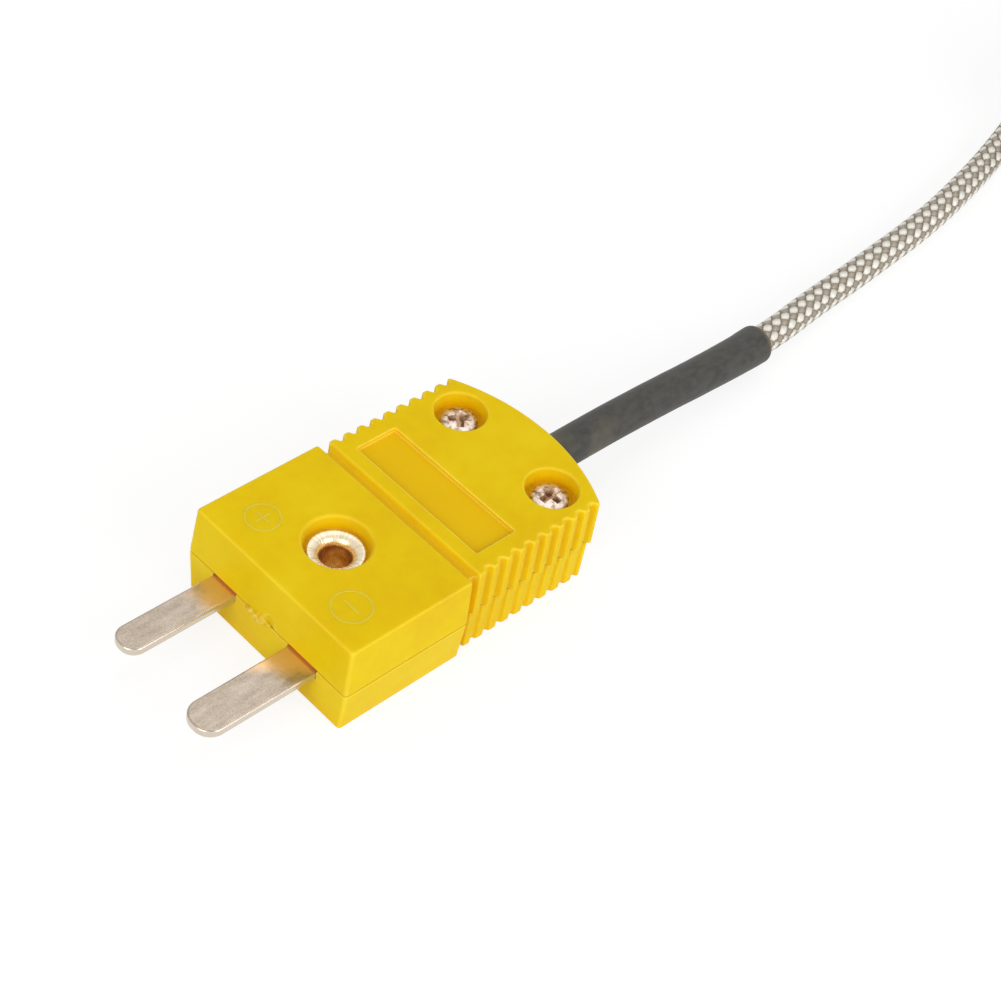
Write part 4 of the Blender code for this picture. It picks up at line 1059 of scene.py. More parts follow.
fill(tree, shader, {
    "Base Color": mixed(tree, ramp(tree, inward, [(0.05, (0, 0, 0)), (0.8, (1, 1, 1))]), bore, rim),
    "Metallic": 0.9,
    "Roughness": plus(tree, 0.18, times(tree, scratches.outputs["Fac"], 0.2)),
})
add_bump(tree, shader, plus(tree, scratches.outputs["Fac"], times(tree, stains, 0.6)), 0.02 * MM)

flare, under = EYELET_RIM - EYELET_BORE, EYELET_RIM - EYELET_BORE - EYELET_WALL
lip = (flare + under) / 2
profile = arc(EYELET_RIM, EYELET_LOWER_Z, flare, 270, 180, FLARE_STEPS)
profile += arc(EYELET_RIM, EYELET_UPPER_Z, flare, 180, 90, FLARE_STEPS)
profile += arc(EYELET_RIM, EYELET_UPPER_Z + lip, EYELET_WALL / 2, 90, -90, LIP_STEPS)[1:-1]
profile += arc(EYELET_RIM, EYELET_UPPER_Z, under, 90, 180, UNDER_STEPS)
profile += arc(EYELET_RIM, EYELET_LOWER_Z, under, 180, 270, UNDER_STEPS)
profile += arc(EYELET_RIM, EYELET_LOWER_Z - lip, EYELET_WALL / 2, 90, -90, LIP_STEPS)[1:-1]
seat = Matrix.Translation((EYELET_X, EYELET_Y, 0))
rivet = spun("nose_rivet", profile, RIVET_STEPS, seat, eyelet_finish, closed=True)
settle(rivet, 60)
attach(rivet, "root")
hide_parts("nose_eyelet")

# Cover screws
# Two nickel plated steel pan head screws with a cross recess hold the back of the plug shut. They stand deep
# in their wells, and each was left at its own angle.
HEAD_RADIUS = 1.38 * MM
HEAD_SEAT_Z = TOP_Z - 1.38 * MM
HEAD_RIM = 0.38 * MM
HEAD_HEIGHT = 0.72 * MM
HEAD_TOP_Z = HEAD_SEAT_Z + HEAD_HEIGHT
HEAD_CHAMFER = 0.05 * MM
TURNED_STEPS = 64
SHANK_RADIUS = 0.8 * MM
SHANK_TIP_Z = 1.4 * MM
CROSS_ARM = 1.02 * MM
CROSS_WIDTH = 0.6 * MM
CROSS_DEPTH = 0.5 * MM
CROSS_TAPER = 0.45
CROSS_MOUTH = 1.06
CROSS_OVERRUN = 0.1 * MM
SCREW_ANGLES = (54.0, 5.0)
NICKEL_PALE = (0.74, 0.64, 0.56)
NICKEL_WARM = (0.30, 0.19, 0.11)
RECESS_SHADE_BROWN = (0.40, 0.24, 0.13)
CROSS_SHADE_FROM = 0.1 * MM
CROSS_SHADE_SPAN = 0.5 * MM
CROSS_SHADE_SPREAD = 0.08 * MM

screw_nickel, tree, shader = new_finish("screw_nickel")
wear = grain(tree, 0.35 * MM, detail=4.0)
colour = ramp(tree, wear, [(0.38, NICKEL_WARM), (0.54, NICKEL_PALE)])
channels = split(tree, stretched_place(tree))
# Painted shade: the cross recess is painted brown, more so deeper down, standing in for the shade inside it.
sunk_shade = over(tree, minus(tree, HEAD_TOP_Z - CROSS_SHADE_FROM, channels["Z"]), CROSS_SHADE_SPAN)
across = minus(tree, calculate(tree, "ABSOLUTE", channels["X"]), COVER_SCREW_X)
back = minus(tree, channels["Y"], COVER_SCREW_Y)
radius = distance_from_axis(tree, across, back)
within = calculate(tree, "LESS_THAN", radius, CROSS_ARM + CROSS_SHADE_SPREAD)
cross_recess_shade = times(tree, times(tree, calculate(tree, "MAXIMUM", sunk_shade, 0.0), 1.4), within)
fill(tree, shader, {
    "Base Color": mixed(tree, calculate(tree, "MINIMUM", cross_recess_shade, 0.85), colour, RECESS_SHADE_BROWN),
    "Metallic": 1.0,
    "Roughness": plus(tree, 0.26, times(tree, wear, 0.2)),
})
add_bump(tree, shader, wear, 0.05 * MM)

crown = HEAD_HEIGHT - HEAD_RIM
profile = [
    (0, SHANK_TIP_Z),
    (0.6 * SHANK_RADIUS, SHANK_TIP_Z),
    (SHANK_RADIUS, SHANK_TIP_Z + 0.4 * SHANK_RADIUS),
    (SHANK_RADIUS, HEAD_SEAT_Z),
    (HEAD_RADIUS - HEAD_CHAMFER, HEAD_SEAT_Z),
    (HEAD_RADIUS, HEAD_SEAT_Z + HEAD_CHAMFER),
]
profile += [(HEAD_RADIUS * c, HEAD_SEAT_Z + HEAD_RIM + crown * s) for c, s in arc(0, 0, 1, 0, 90, 14)[:-1]]
profile.append((0, HEAD_TOP_Z))
screw = spun("screw_blank", profile, TURNED_STEPS, Matrix.Identity(4))
quarter = [(CROSS_ARM, -CROSS_WIDTH / 2), (CROSS_ARM, CROSS_WIDTH / 2), (CROSS_WIDTH / 2, CROSS_WIDTH / 2)]
rings = []
for z, share in ((HEAD_TOP_Z - CROSS_DEPTH, CROSS_TAPER), (HEAD_TOP_Z + CROSS_OVERRUN, CROSS_MOUTH)):
    ring = []
    for k in range(4):
        for corner in quarter:
            x, y = Matrix.Rotation(math.radians(90 * k), 2) @ Vector(corner)
            ring.append((x * share, y * share, z))
    rings.append(ring)
carve(screw, stacked("cross_recess", rings))
settle(screw, 42)


def new_tree(name, inputs):
    """A Geometry Nodes tree with its named inputs, given as the tree, those sockets and its output node."""
    tree = bpy.data.node_groups.new(name, "GeometryNodeTree")
    tree.interface.new_socket("Geometry", in_out="INPUT", socket_type="NodeSocketGeometry")
    for label, kind in inputs:
        tree.interface.new_socket(label, in_out="INPUT", socket_type="NodeSocket" + kind)
    tree.interface.new_socket("Geometry", in_out="OUTPUT", socket_type="NodeSocketGeometry")
    return tree, tree.nodes.new("NodeGroupInput").outputs, tree.nodes.new("NodeGroupOutput")


def close_tree(tree, given, end, geometry):
    """Ends a tree with real geometry in its own finish."""
    real = add_node(tree, "GeometryNodeRealizeInstances", {0: geometry})
    finish = add_node(
        tree, "GeometryNodeSetMaterial", {"Geometry": real.outputs[0], "Material": given["Finish"]}
    )
    feed(tree, end.inputs[0], finish.outputs[0])


def grown(name, start, tree, settings):
    """The mesh that a tree makes of a start object, as a plain piece. The start object is used up."""
    step = start.modifiers.new("growth", "NODES")
    step.node_group = tree
    for socket in tree.interface.items_tree:
        if socket.in_out == "INPUT" and socket.name in settings:
            step[socket.identifier] = settings[socket.name]
    layer = bpy.context.evaluated_depsgraph_get()
    mesh = bpy.data.meshes.new_from_object(start.evaluated_get(layer), depsgraph=layer)
    mesh.name = name
    bpy.data.objects.remove(start)
    piece = bpy.data.objects.new(name, mesh)
    bpy.context.scene.collection.objects.link(piece)
    return piece


seat_tree, given, result = new_tree(
    "screws_on_their_seats",
    [
        ("Spread", "Float"),
        ("Back", "Float"),
        ("First Angle", "Float"),
        ("Second Angle", "Float"),
        ("Finish", "Material"),
    ],
)
nodes = seat_tree.nodes
seats = add_node(seat_tree, "GeometryNodeMeshLine", {"Count": 2}, mode="END_POINTS")
for end, sign in (("Start Location", -1.0), ("Offset", 1.0)):
    spot = add_node(
        seat_tree, "ShaderNodeCombineXYZ",
        {"X": times(seat_tree, given["Spread"], sign), "Y": given["Back"]},
    )
    feed(seat_tree, seats.inputs[end], spot.outputs[0])
index = nodes.new("GeometryNodeInputIndex")
gain = minus(seat_tree, given["Second Angle"], given["First Angle"])
angle = plus(seat_tree, given["First Angle"], times(seat_tree, gain, index.outputs[0]))
turn_about = add_node(seat_tree, "ShaderNodeCombineXYZ", {"Z": angle})
driven = add_node(
    seat_tree, "GeometryNodeInstanceOnPoints",
    {"Points": seats.outputs[0], "Instance": given["Geometry"], "Rotation": turn_about.outputs[0]},
)
close_tree(seat_tree, given, result, driven.outputs[0])
cover_screws = grown(
    "cover_screws",
    screw,
    seat_tree,
    {
        "Spread": COVER_SCREW_X,
        "Back": COVER_SCREW_Y,
        "First Angle": math.radians(SCREW_ANGLES[0]),
        "Second Angle": math.radians(SCREW_ANGLES[1]),
        "Finish": screw_nickel,
    },
)
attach(cover_screws, "root")
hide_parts("cover_screw_left", "cover_screw_right")

# Braided lead
# Two sleeved cores under a woven shield of stainless wire, bought by the foot as a 36 inch lead.
# It leaves the plug under its shrink sleeve, and the length that isn't in use lies folded in a hank.
LEAD_DIAMETER = 2.4 * MM
LEAD_RADIUS = LEAD_DIAMETER / 2
LEAD_START_BEHIND_BACK = -3.0
LEAD_CURVE_STEP = 0.05 * MM
LEAD_ROUTE = [
    (0.0, -3.3, 3.8), (0.0, 0.0, 3.8), (0.0, 3.5, 3.83), (0.0, 7.5, 3.8),
    (-0.07, 12.7, 3.47), (-0.2, 18.0, 2.93), (-0.38, 22.5, 2.46), (-0.62, 26.1, 2.13),
    (-0.98, 29.6, 1.85), (-1.42, 32.8, 1.62), (-1.82, 36.0, 1.38), (-2.2, 40.1, 1.2),
    (-2.6, 44.7, 1.2), (-3.02, 49.2, 1.2), (-3.66, 53.9, 1.2), (-4.48, 58.3, 1.2),
    (-5.4, 62.5, 1.2), (-6.6, 67.1, 1.2), (-7.75, 71.1, 1.2), (-8.7, 75.2, 1.2),
    (-9.35, 79.4, 1.2),
]
HANK_NEAR = 80.7
HANK_RUN = 47.5
HANK_OUTER_TURN = 9.6
HANK_INNER_TURN = 7.2
HANK_LAYERS = (1.2, 3.65, 6.1)
HANK_SLOTS = [
    (HANK_OUTER_TURN, HANK_LAYERS[0]),
    (HANK_INNER_TURN, HANK_LAYERS[0]),
    (HANK_INNER_TURN, HANK_LAYERS[1]),
    (HANK_OUTER_TURN, HANK_LAYERS[1]),
    (HANK_OUTER_TURN, HANK_LAYERS[2]),
    (HANK_INNER_TURN, HANK_LAYERS[2]),
]
STEPS_PER_TURN = 60
HANK_START_SHARE = 0.02
FIRST_CHANGE = 0.875
CHANGE_SHARE = 0.095
STRAP_CENTRE = 104.7
STRAP_RISE = 0.5
STRAP_LEVEL_HALF = 2.8
STRAP_RAMP = 8.0
TAIL_ROUTE = [
    (6.9, 124.2, 6.08), (5.9, 120.2, 5.75), (4.4, 116.7, 4.6), (3.1, 113.6, 3.3),
    (2.3, 111.1, 2.4), (2.0, 108.7, 2.0), (2.0, 106.2, 2.0), (2.0, 103.7, 2.0),
]


def eased(share):
    """0 to 1 with a soft start and end."""
    share = min(1.0, max(0.0, share))
    return share * share * (3 - 2 * share)


def on_turn(radius, share):
    """The place on one turn of the hank, from the left run's near end over the far fold and back."""
    run = HANK_RUN / (2 * HANK_RUN + 2 * math.pi * (HANK_INNER_TURN + HANK_OUTER_TURN) / 2)
    fold = 0.5 - run
    far = HANK_NEAR + HANK_RUN
    if share < run:
        return -radius, HANK_NEAR + HANK_RUN * share / run
    if share < 0.5:
        angle = math.pi * (share - run) / fold
        return -radius * math.cos(angle), far + radius * math.sin(angle)
    if share < 0.5 + run:
        return radius, far - HANK_RUN * (share - 0.5) / run
    angle = math.pi * (share - 0.5 - run) / fold
    return radius * math.cos(angle), HANK_NEAR - radius * math.sin(angle)


def hank_route():
    """The turns of the hank. Near its end each turn moves over to the next slot, each a little earlier."""
    route = []
    turns = len(HANK_SLOTS)
    first = round(STEPS_PER_TURN * HANK_START_SHARE)
    for step in range(first, STEPS_PER_TURN * (turns - 1) + STEPS_PER_TURN // 2 + 1):
        turn, share = divmod(step / STEPS_PER_TURN, 1.0)
        turn = int(turn)
        radius, height = HANK_SLOTS[turn]
        if turn + 1 < turns:
            moved = eased((share - FIRST_CHANGE + CHANGE_SHARE * turn) / CHANGE_SHARE)
            next_radius, next_height = HANK_SLOTS[turn + 1]
            radius += (next_radius - radius) * moved
            height += (next_height - height) * moved
        x, y = on_turn(radius, share)
        if x < 0 and HANK_NEAR < y < HANK_NEAR + HANK_RUN:
            away = abs(y - STRAP_CENTRE) - STRAP_LEVEL_HALF
            height += STRAP_RISE * eased(1 - away / STRAP_RAMP)
        route.append((x, y, height))
    return route


def smooth_line(route):
    """Finely spaced points on a smooth curve through a route in millimetres behind the plug's back."""
    knots = [Vector(p) * MM + Vector((0, BACK_Y, 0)) for p in route]
    ends = [2 * knots[0] - knots[1]] + knots + [2 * knots[-1] - knots[-2]]
    fine = []
    for a, b, c, d in zip(ends, ends[1:], ends[2:], ends[3:]):
        steps = max(2, round((c - b).length / LEAD_CURVE_STEP))
        for i in range(steps):
            t = i / steps
            bend = (2 * a - 5 * b + 4 * c - d) * t**2 + (3 * b - a - 3 * c + d) * t**3
            fine.append(0.5 * (2 * b + (c - a) * t + bend))
    return fine + [knots[-1]]


def walk(line):
    """The distance walked to each point of a line."""
    walked = [0.0]
    for a, b in zip(line, line[1:]):
        walked.append(walked[-1] + (b - a).length)
    return walked


lead_line = smooth_line(LEAD_ROUTE + hank_route() + TAIL_ROUTE)
lead_line = [p for p in lead_line if p.y > BACK_Y + LEAD_START_BEHIND_BACK * MM]
lead_walk = walk(lead_line)
SHOWN_FROM = 24.0 * MM
SHOWN_TO = 84.0 * MM
FINE_SPACING = 0.125 * MM
STORED_SPACING = 0.37 * MM
LEAD_SIDES = 32
CARRIERS = 8
LAY = 10.4 * MM
WEAVE_PHASE = 0.5
STRAND_SHARE = 0.93
STRAND_CROWN = 0.45
STRAND_WAVE = 0.55
FAMILY_LEAD = 0.11
WEAVE_DEPTH = 0.14 * MM
WEAVE_SINK = 0.04 * MM


def spaced_points(line, walked, spacing_at):
    """Points along a line at a spacing that may change along it."""
    points, target, k = [], 0.0, 0
    while target < walked[-1]:
        while walked[k + 1] < target:
            k += 1
        points.append(line[k].lerp(line[k + 1], (target - walked[k]) / (walked[k + 1] - walked[k])))
        target += spacing_at(target)
    return points + [line[-1]]


def lead_spacing(walked):
    return FINE_SPACING if SHOWN_FROM < walked < SHOWN_TO else STORED_SPACING


def path_object(name, points):
    """A guide curve for a node tree."""
    curve = bpy.data.curves.new(name, "CURVE")
    curve.dimensions = "3D"
    spline = curve.splines.new("POLY")
    spline.points.add(len(points) - 1)
    for end, point in zip(spline.points, points):
        end.co = (*point, 1.0)
    guide = bpy.data.objects.new(name, curve)
    bpy.context.scene.collection.objects.link(guide)
    return guide


def weave(tree, turn, along):
    """The woven shield as numbers: height of the top strand, which family it is of, and place across it.
    turn is the angle round the lead in turns and along the distance along it in lays."""
    heights, strips = [], []
    rising = times(tree, plus(tree, turn, along), CARRIERS)
    falling = times(tree, minus(tree, turn, along), CARRIERS)
    for own, other, sign in ((rising, falling, 1.0), (falling, rising, -1.0)):
        across = minus(tree, calculate(tree, "FRACT", own), 0.5)
        index = calculate(tree, "FLOOR", own)
        parity = calculate(tree, "COSINE", times(tree, index, math.pi))
        ripple = calculate(tree, "SINE", times(tree, other, math.pi))
        wave = times(tree, times(tree, parity, ripple), sign * STRAND_WAVE)
        edge = times(tree, calculate(tree, "ABSOLUTE", across), 2 / STRAND_SHARE)
        crown = times(tree, calculate(tree, "POWER", edge, 2.6), -STRAND_CROWN)
        gap = times(tree, calculate(tree, "GREATER_THAN", edge, 1.0), -0.6)
        heights.append(plus(tree, plus(tree, wave, crown), plus(tree, gap, sign * FAMILY_LEAD)))
        strips.append(across)
    top = calculate(tree, "MAXIMUM", *heights)
    family = calculate(tree, "GREATER_THAN", heights[0], heights[1])
    second = times(tree, minus(tree, 1.0, family), strips[1])
    strip = plus(tree, times(tree, family, strips[0]), second)
    return top, family, strip


def weave_place(tree, cosine, sine, distance):
    """Angle in turns and distance in lays from what the mesh carries."""
    turn = over(tree, calculate(tree, "ARCTAN2", sine, cosine), 2 * math.pi)
    turn = plus(tree, turn, WEAVE_PHASE / CARRIERS)
    return turn, over(tree, distance, LAY)


def vector_math(tree, operation, *values):
    """One Vector Math node's result."""
    node = tree.nodes.new("ShaderNodeVectorMath")
    node.operation = operation
    sockets = [node.inputs[0], node.inputs["Scale"] if operation == "SCALE" else node.inputs[1]]
    for socket, value in zip(sockets, values):
        feed(tree, socket, value)
    return node.outputs[0]


lead_tree, given, result = new_tree(
    "woven_lead",
    [("Radius", "Float"), ("Sides", "Int"), ("Depth", "Float"), ("Finish", "Material")],
)
nodes = lead_tree.nodes
parameter = nodes.new("GeometryNodeSplineParameter")
marked = add_node(
    lead_tree, "GeometryNodeStoreNamedAttribute",
    {"Name": "distance", "Geometry": given["Geometry"], "Value": parameter.outputs["Length"]},
    data_type="FLOAT",
)
upright_frame = add_node(
    lead_tree, "GeometryNodeSetCurveNormal",
    {"Curve": marked.outputs["Geometry"]},
    mode="Z_UP",
)
outline = add_node(
    lead_tree, "GeometryNodeCurvePrimitiveCircle",
    {"Resolution": given["Sides"], "Radius": given["Radius"]},
)
place = nodes.new("GeometryNodeInputPosition")
direction = vector_math(lead_tree, "NORMALIZE", place.outputs[0])
round_mark = add_node(
    lead_tree, "GeometryNodeStoreNamedAttribute",
    {"Name": "round", "Geometry": outline.outputs["Curve"], "Value": direction},
    data_type="FLOAT_VECTOR",
)
sweep = add_node(
    lead_tree, "GeometryNodeCurveToMesh",
    {
        "Fill Caps": True,
        "Curve": upright_frame.outputs["Curve"],
        "Profile Curve": round_mark.outputs["Geometry"],
    },
)


def carried(tree, name, kind):
    """A value that the mesh carries by name."""
    node = tree.nodes.new("GeometryNodeInputNamedAttribute")
    node.data_type = kind
    node.inputs["Name"].default_value = name
    return node.outputs["Attribute"]


parts = split(lead_tree, carried(lead_tree, "round", "FLOAT_VECTOR"))
distance = carried(lead_tree, "distance", "FLOAT")
turn, along = weave_place(lead_tree, parts["X"], parts["Y"], distance)
height = weave(lead_tree, turn, along)[0]
normal = nodes.new("GeometryNodeInputNormal")
lift = vector_math(lead_tree, "SCALE", normal.outputs[0], times(lead_tree, height, given["Depth"]))
raised = add_node(
    lead_tree, "GeometryNodeSetPosition",
    {"Geometry": sweep.outputs["Mesh"], "Offset": lift},
)
packed = add_node(lead_tree, "ShaderNodeCombineXYZ", {"X": parts["X"], "Y": parts["Y"], "Z": distance})
kept = add_node(
    lead_tree, "GeometryNodeStoreNamedAttribute",
    {"Name": "weave", "Geometry": raised.outputs["Geometry"], "Value": packed.outputs[0]},
    data_type="FLOAT_VECTOR",
)
soft = add_node(lead_tree, "GeometryNodeSetShadeSmooth", {"Geometry": kept.outputs["Geometry"]})
close_tree(lead_tree, given, result, soft.outputs["Geometry"])

SHIELD_GAP_SHADE = (0.15, 0.115, 0.075)
LIT_FLANK = (0.58, 0.54, 0.46)
LIT_CROWN = (0.82, 0.79, 0.71)
SHADED_FLANK = (0.25, 0.205, 0.15)
SHADED_CROWN = (0.40, 0.355, 0.285)
WIRES_PER_STRAND = 5

shield, tree, shader = new_finish("woven_shield")
carried_place = add_node(tree, "ShaderNodeAttribute", attribute_name="weave")
parts = split(tree, carried_place.outputs["Vector"])
turn, along = weave_place(tree, parts["X"], parts["Y"], parts["Z"])
top, family, strip = weave(tree, turn, along)
wires = calculate(tree, "COSINE", times(tree, strip, 2 * math.pi * WIRES_PER_STRAND))
# Painted light and shade: one strand family is painted lit and the other shaded, crowns are painted lighter
# than flanks, and the gaps between strands are painted dark as shade.
shade = plus(tree, times(tree, top, 0.75), 0.5)
lit = ramp(tree, shade, [(0.1, SHIELD_GAP_SHADE), (0.45, LIT_FLANK), (0.8, LIT_CROWN)])
turned_away = ramp(tree, shade, [(0.1, SHIELD_GAP_SHADE), (0.45, SHADED_FLANK), (0.85, SHADED_CROWN)])
fill(tree, shader, {
    "Base Color": mixed(tree, family, turned_away, lit),
    "Metallic": 0.4,
    "Roughness": 0.42,
})
add_bump(tree, shader, plus(tree, top, times(tree, wires, 0.12)), 0.12 * MM)

lead = grown(
    "braided_lead",
    path_object("lead_path", spaced_points(lead_line, lead_walk, lead_spacing)),
    lead_tree,
    {"Radius": LEAD_RADIUS - WEAVE_SINK, "Sides": LEAD_SIDES, "Depth": WEAVE_DEPTH, "Finish": shield},
)
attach(lead, "root")
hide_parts("lead_cable", "lead_hank", "lead_tail")

# Shrink sleeve
# A length of black polyolefin sleeving, shrunk on the lead where it goes into the back of the plug.
# It follows the lead, shows a faint ripple of the braid under it and was cut off square with a blade.
SLEEVE_END = 25.7
SLEEVE_WALL = 0.25 * MM
SLEEVE_FLARE = 0.14 * MM
SLEEVE_RIPPLE = 0.035 * MM
SLEEVE_SIDES = 40
SLEEVE_ROWS = 240
SLEEVE_SPACING = 0.3 * MM
CUT_SHARE = 0.03
CUT_WIDTH = 0.12
LUMPS_ALONG = 14.0
FLARE_POWER = 5.0
SEAM_GAP = 0.001 * MM
POLYOLEFIN_DARK = (0.030, 0.028, 0.024)
POLYOLEFIN_PLAIN = (0.052, 0.050, 0.042)
POLYOLEFIN_SHEEN_OLIVE = (0.100, 0.093, 0.058)
CUT_BROWN = (0.125, 0.085, 0.050)

tube_tree, given, result = new_tree(
    "tube_along_lead",
    [
        ("Radius", "Float"),
        ("Wall", "Float"),
        ("Flare", "Float"),
        ("Ripple", "Float"),
        ("Sides", "Int"),
        ("Rows", "Int"),
        ("Finish", "Material"),
    ],
)
nodes = tube_tree.nodes
sheet = add_node(
    tube_tree, "GeometryNodeMeshGrid",
    {
        "Size X": 1.0,
        "Size Y": 1.0,
        "Vertices X": given["Sides"],
        "Vertices Y": given["Rows"],
    },
)
flat = split(tube_tree, nodes.new("GeometryNodeInputPosition").outputs[0])
angle = times(tube_tree, plus(tube_tree, flat["X"], 0.5), 2 * math.pi)
there_and_back = times(tube_tree, plus(tube_tree, flat["Y"], 0.5), 2.0)
reach = minus(tube_tree, 1.0, calculate(tube_tree, "ABSOLUTE", minus(tube_tree, there_and_back, 1.0)))
along = limited(tube_tree, over(tube_tree, minus(tube_tree, reach, CUT_SHARE), 1 - 2 * CUT_SHARE))
opened = limited(tube_tree, over(tube_tree, there_and_back, CUT_SHARE))
closing = over(tube_tree, minus(tube_tree, 1 + CUT_SHARE, there_and_back), 2 * CUT_SHARE)
outside = times(tube_tree, opened, limited(tube_tree, closing))
around = nodes.new("ShaderNodeCombineXYZ")
cosine, sine = calculate(tube_tree, "COSINE", angle), calculate(tube_tree, "SINE", angle)
feed(tube_tree, around.inputs["X"], cosine)
feed(tube_tree, around.inputs["Y"], sine)
feed(tube_tree, around.inputs["Z"], times(tube_tree, along, LUMPS_ALONG))
lumps = add_node(
    tube_tree, "ShaderNodeTexNoise",
    {"Scale": 1.1, "Detail": 3.0, "Vector": around.outputs[0]},
)
ripple = times(tube_tree, minus(tube_tree, lumps.outputs["Fac"], 0.5), 2.0)
ripple = times(tube_tree, ripple, times(tube_tree, given["Ripple"], along))
flare = times(tube_tree, calculate(tube_tree, "POWER", along, FLARE_POWER), given["Flare"])
skin = plus(tube_tree, plus(tube_tree, given["Radius"], flare), ripple)
hollow = minus(tube_tree, plus(tube_tree, given["Radius"], flare), given["Wall"])
depth = times(tube_tree, minus(tube_tree, skin, hollow), outside)
distance = plus(tube_tree, hollow, depth)
steady = add_node(
    tube_tree, "GeometryNodeSetCurveNormal",
    {"Curve": given["Geometry"]},
    mode="Z_UP",
)
spot = add_node(
    tube_tree, "GeometryNodeSampleCurve",
    {"Curves": steady.outputs["Curve"], "Factor": along},
    mode="FACTOR",
)
sideways = vector_math(tube_tree, "CROSS_PRODUCT", spot.outputs["Tangent"], spot.outputs["Normal"])
upward = vector_math(tube_tree, "SCALE", spot.outputs["Normal"], times(tube_tree, cosine, distance))
sideways = vector_math(tube_tree, "SCALE", sideways, times(tube_tree, sine, distance))
surface = vector_math(tube_tree, "ADD", upward, sideways)
surface = vector_math(tube_tree, "ADD", surface, spot.outputs["Position"])
shaped = add_node(
    tube_tree, "GeometryNodeSetPosition",
    {"Geometry": sheet.outputs["Mesh"], "Position": surface},
)
joined = add_node(
    tube_tree, "GeometryNodeMergeByDistance",
    {"Distance": SEAM_GAP, "Geometry": shaped.outputs["Geometry"]},
)
close_tree(tube_tree, given, result, joined.outputs["Geometry"])

polyolefin, tree, shader = new_finish("shrunk_polyolefin")
channels = split(tree, stretched_place(tree))
behind = over(tree, minus(tree, channels["Y"], BACK_Y), MM)
dust = grain(tree, 0.5 * MM, stretched_place(tree, (1.0, 0.5, 1.0)), 5.0)
colour = ramp(tree, dust, [(0.35, POLYOLEFIN_DARK), (0.6, POLYOLEFIN_PLAIN)])
# Painted sheen: paler olive patches, thinning out over the first millimetres behind the plug's back.
sheen_patches = plus(tree, times(tree, grain(tree, 2.5 * MM, detail=2.0), 1.2), times(tree, behind, -0.055))
sheen_share = ramp(tree, sheen_patches, [(0.28, (0, 0, 0)), (0.62, (0.75, 0.75, 0.75))])
colour = mixed(tree, sheen_share, colour, POLYOLEFIN_SHEEN_OLIVE)
near_cut = calculate(tree, "GREATER_THAN", behind, SLEEVE_END - CUT_WIDTH)
fill(tree, shader, {
    "Base Color": mixed(tree, near_cut, colour, CUT_BROWN),
    "Roughness": plus(tree, 0.42, times(tree, dust, 0.2)),
    "Specular IOR Level": 0.42,
})
add_bump(tree, shader, plus(tree, dust, grain(tree, 0.15 * MM)), 0.012 * MM)

sleeve_line = [p for p in smooth_line(LEAD_ROUTE) if p.y < BACK_Y + SLEEVE_END * MM]
sleeve_walk = walk(sleeve_line)
shrink_sleeve = grown(
    "shrink_sleeve",
    path_object("sleeve_path", spaced_points(sleeve_line, sleeve_walk, lambda walked: SLEEVE_SPACING)),
    tube_tree,
    {
        "Radius": SLEEVE_RADIUS,
        "Wall": SLEEVE_WALL,
        "Flare": SLEEVE_FLARE,
        "Ripple": SLEEVE_RIPPLE,
        "Sides": SLEEVE_SIDES + 1,
        "Rows": SLEEVE_ROWS + 1,
        "Finish": polyolefin,
    },
)


def outward(piece, sharp_angle=38):
    """Turns a grown piece's faces outwards and shades its round stretches smooth."""
    shape = bmesh.new()
    shape.from_mesh(piece.data)
    bmesh.ops.recalc_face_normals(shape, faces=shape.faces)
    shape.to_mesh(piece.data)
    shape.free()
    piece.data.shade_smooth()
    piece.data.set_sharp_from_angle(angle=math.radians(sharp_angle))


outward(shrink_sleeve)
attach(shrink_sleeve, "root")
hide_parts("heat_shrink_sleeve")

# Hank strap
# A strip of black hook and loop strap round the stored turns. It is pressed shut over its own start.
STRAP_WIDTH = 4.5 * MM
STRAP_THICKNESS = 0.5 * MM
STRAP_X = (-11.35 * MM, -5.45 * MM)
STRAP_Z = (0.26 * MM, 8.05 * MM)
STRAP_CORNER = 1.3 * MM
STRAP_OVERLAP = 3.4 * MM
STRAP_START = 1.6 * MM
STRAP_LAP_RUN = 1.0 * MM
STRAP_LAP_LIFT = 1.04
STRAP_BLACK = (0.018, 0.018, 0.019)
STRAP_LINT = (0.075, 0.075, 0.078)

strap_finish, tree, shader = new_finish("hook_and_loop")
tufts = grain(tree, 0.35 * MM, detail=4.0)
fill(tree, shader, {
    "Base Color": ramp(tree, tufts, [(0.4, STRAP_BLACK), (0.75, STRAP_LINT)]),
    "Roughness": 0.85,
})
add_bump(tree, shader, tufts, 0.08 * MM)

band_tree, given, result = new_tree(
    "strap_band",
    [("Width", "Float"), ("Thickness", "Float"), ("Finish", "Material")],
)
nodes = band_tree.nodes
section = add_node(
    band_tree, "GeometryNodeCurvePrimitiveQuadrilateral",
    {"Width": given["Width"], "Height": given["Thickness"]},
)
softer = add_node(
    band_tree, "GeometryNodeFilletCurve",
    {
        "Count": 3,
        "Limit Radius": True,
        "Curve": section.outputs["Curve"],
        "Radius": times(band_tree, given["Thickness"], 0.3),
    },
    mode="POLY",
)
band = add_node(
    band_tree, "GeometryNodeCurveToMesh",
    {"Fill Caps": True, "Curve": given["Geometry"], "Profile Curve": softer.outputs["Curve"]},
)
close_tree(band_tree, given, result, band.outputs["Mesh"])

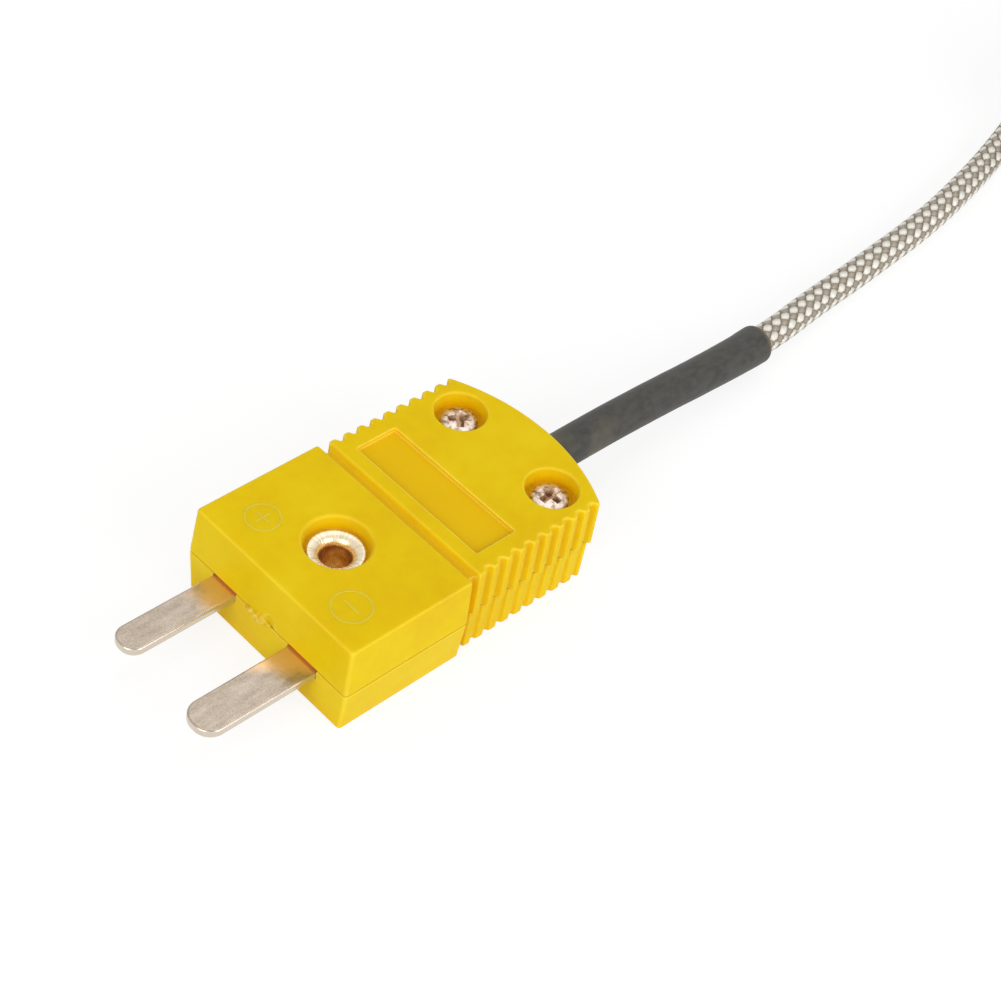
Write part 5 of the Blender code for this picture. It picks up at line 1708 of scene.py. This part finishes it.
strap_y = BACK_Y + STRAP_CENTRE * MM
loop = rounded_rectangle(STRAP_X[0], STRAP_Z[0], STRAP_X[1], STRAP_Z[1], STRAP_CORNER)
start_x = (STRAP_X[0] + STRAP_X[1]) / 2 + STRAP_START
first = next(i for i, (x, z) in enumerate(loop) if z >= STRAP_Z[1] - 1e-9)
ring = [(start_x, STRAP_Z[1])] + loop[first + 1:] + loop[:first + 1]
lifted = STRAP_Z[1] + STRAP_THICKNESS * STRAP_LAP_LIFT
ring += [(x, lifted) for x in (start_x + STRAP_LAP_RUN, start_x, start_x - STRAP_OVERLAP)]
hank_strap = grown(
    "hank_strap",
    path_object("strap_path", [Vector((x, strap_y, z)) for x, z in ring]),
    band_tree,
    {"Width": STRAP_WIDTH, "Thickness": STRAP_THICKNESS, "Finish": strap_finish},
)
outward(hank_strap)
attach(hank_strap, "root")
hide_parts("hank_tie")

# Sensing sheath
# A stainless steel tube, closed by a round weld at its tip, where the two cores are joined into the junction.
# Two crimps near its mouth grip the braided lead.
SHEATH_RADIUS = 2.0 * MM
SHEATH_LENGTH = 30.0 * MM
SHEATH_MOUTH = (2.0 * MM, BACK_Y + 108.7 * MM, 2.0 * MM)
SHEATH_BORE = LEAD_RADIUS + 0.04 * MM
SHEATH_TIP_STEPS = 12
SHEATH_BORE_DEPTH = 5.3 * MM
MOUTH_CHAMFER = 0.15 * MM
CRIMPS = (1.6 * MM, 4.2 * MM)
CRIMP_WIDTH = 1.2 * MM
CRIMP_DEPTH = 0.25 * MM
CRIMP_SHOULDER = 0.3 * MM
CRIMP_STEPS = 6
SHEATH_STEEL = (0.62, 0.61, 0.59)
SHEATH_DULL = (0.44, 0.43, 0.41)

drawn_steel = metal("drawn_steel", SHEATH_STEEL, SHEATH_DULL, 0.5 * MM, 0.24, 0.008 * MM)
profile = [(0, SHEATH_BORE_DEPTH), (SHEATH_BORE, SHEATH_BORE_DEPTH), (SHEATH_BORE, 0.0)]
profile += [(SHEATH_RADIUS - MOUTH_CHAMFER, 0.0), (SHEATH_RADIUS, MOUTH_CHAMFER)]
for crimp in CRIMPS:
    near, far = crimp - CRIMP_WIDTH / 2, crimp + CRIMP_WIDTH / 2
    for start, sign in ((near, 1), (far, -1)):
        for i in range(CRIMP_STEPS + 1):
            t = i / CRIMP_STEPS if sign > 0 else 1 - i / CRIMP_STEPS
            away = start - sign * CRIMP_SHOULDER / 2 + sign * CRIMP_SHOULDER * t
            profile.append((SHEATH_RADIUS - CRIMP_DEPTH * eased(t), away))
tip = arc(SHEATH_LENGTH - SHEATH_RADIUS, 0, SHEATH_RADIUS, 90, 0, SHEATH_TIP_STEPS)
profile += [(r, y) for y, r in tip[:-1]] + [(0, SHEATH_LENGTH)]
along_y = Matrix.Translation(SHEATH_MOUTH) @ Matrix.Rotation(math.radians(90), 4, "X")
sheath = spun("sensing_sheath", profile, TURNED_STEPS, along_y, drawn_steel)
settle(sheath, 30)
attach(sheath, "root")
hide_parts("probe_sheath")

[tuple(p) for p in spaced_points(lead_line, lead_walk, lambda walked: 1.5 * MM)]
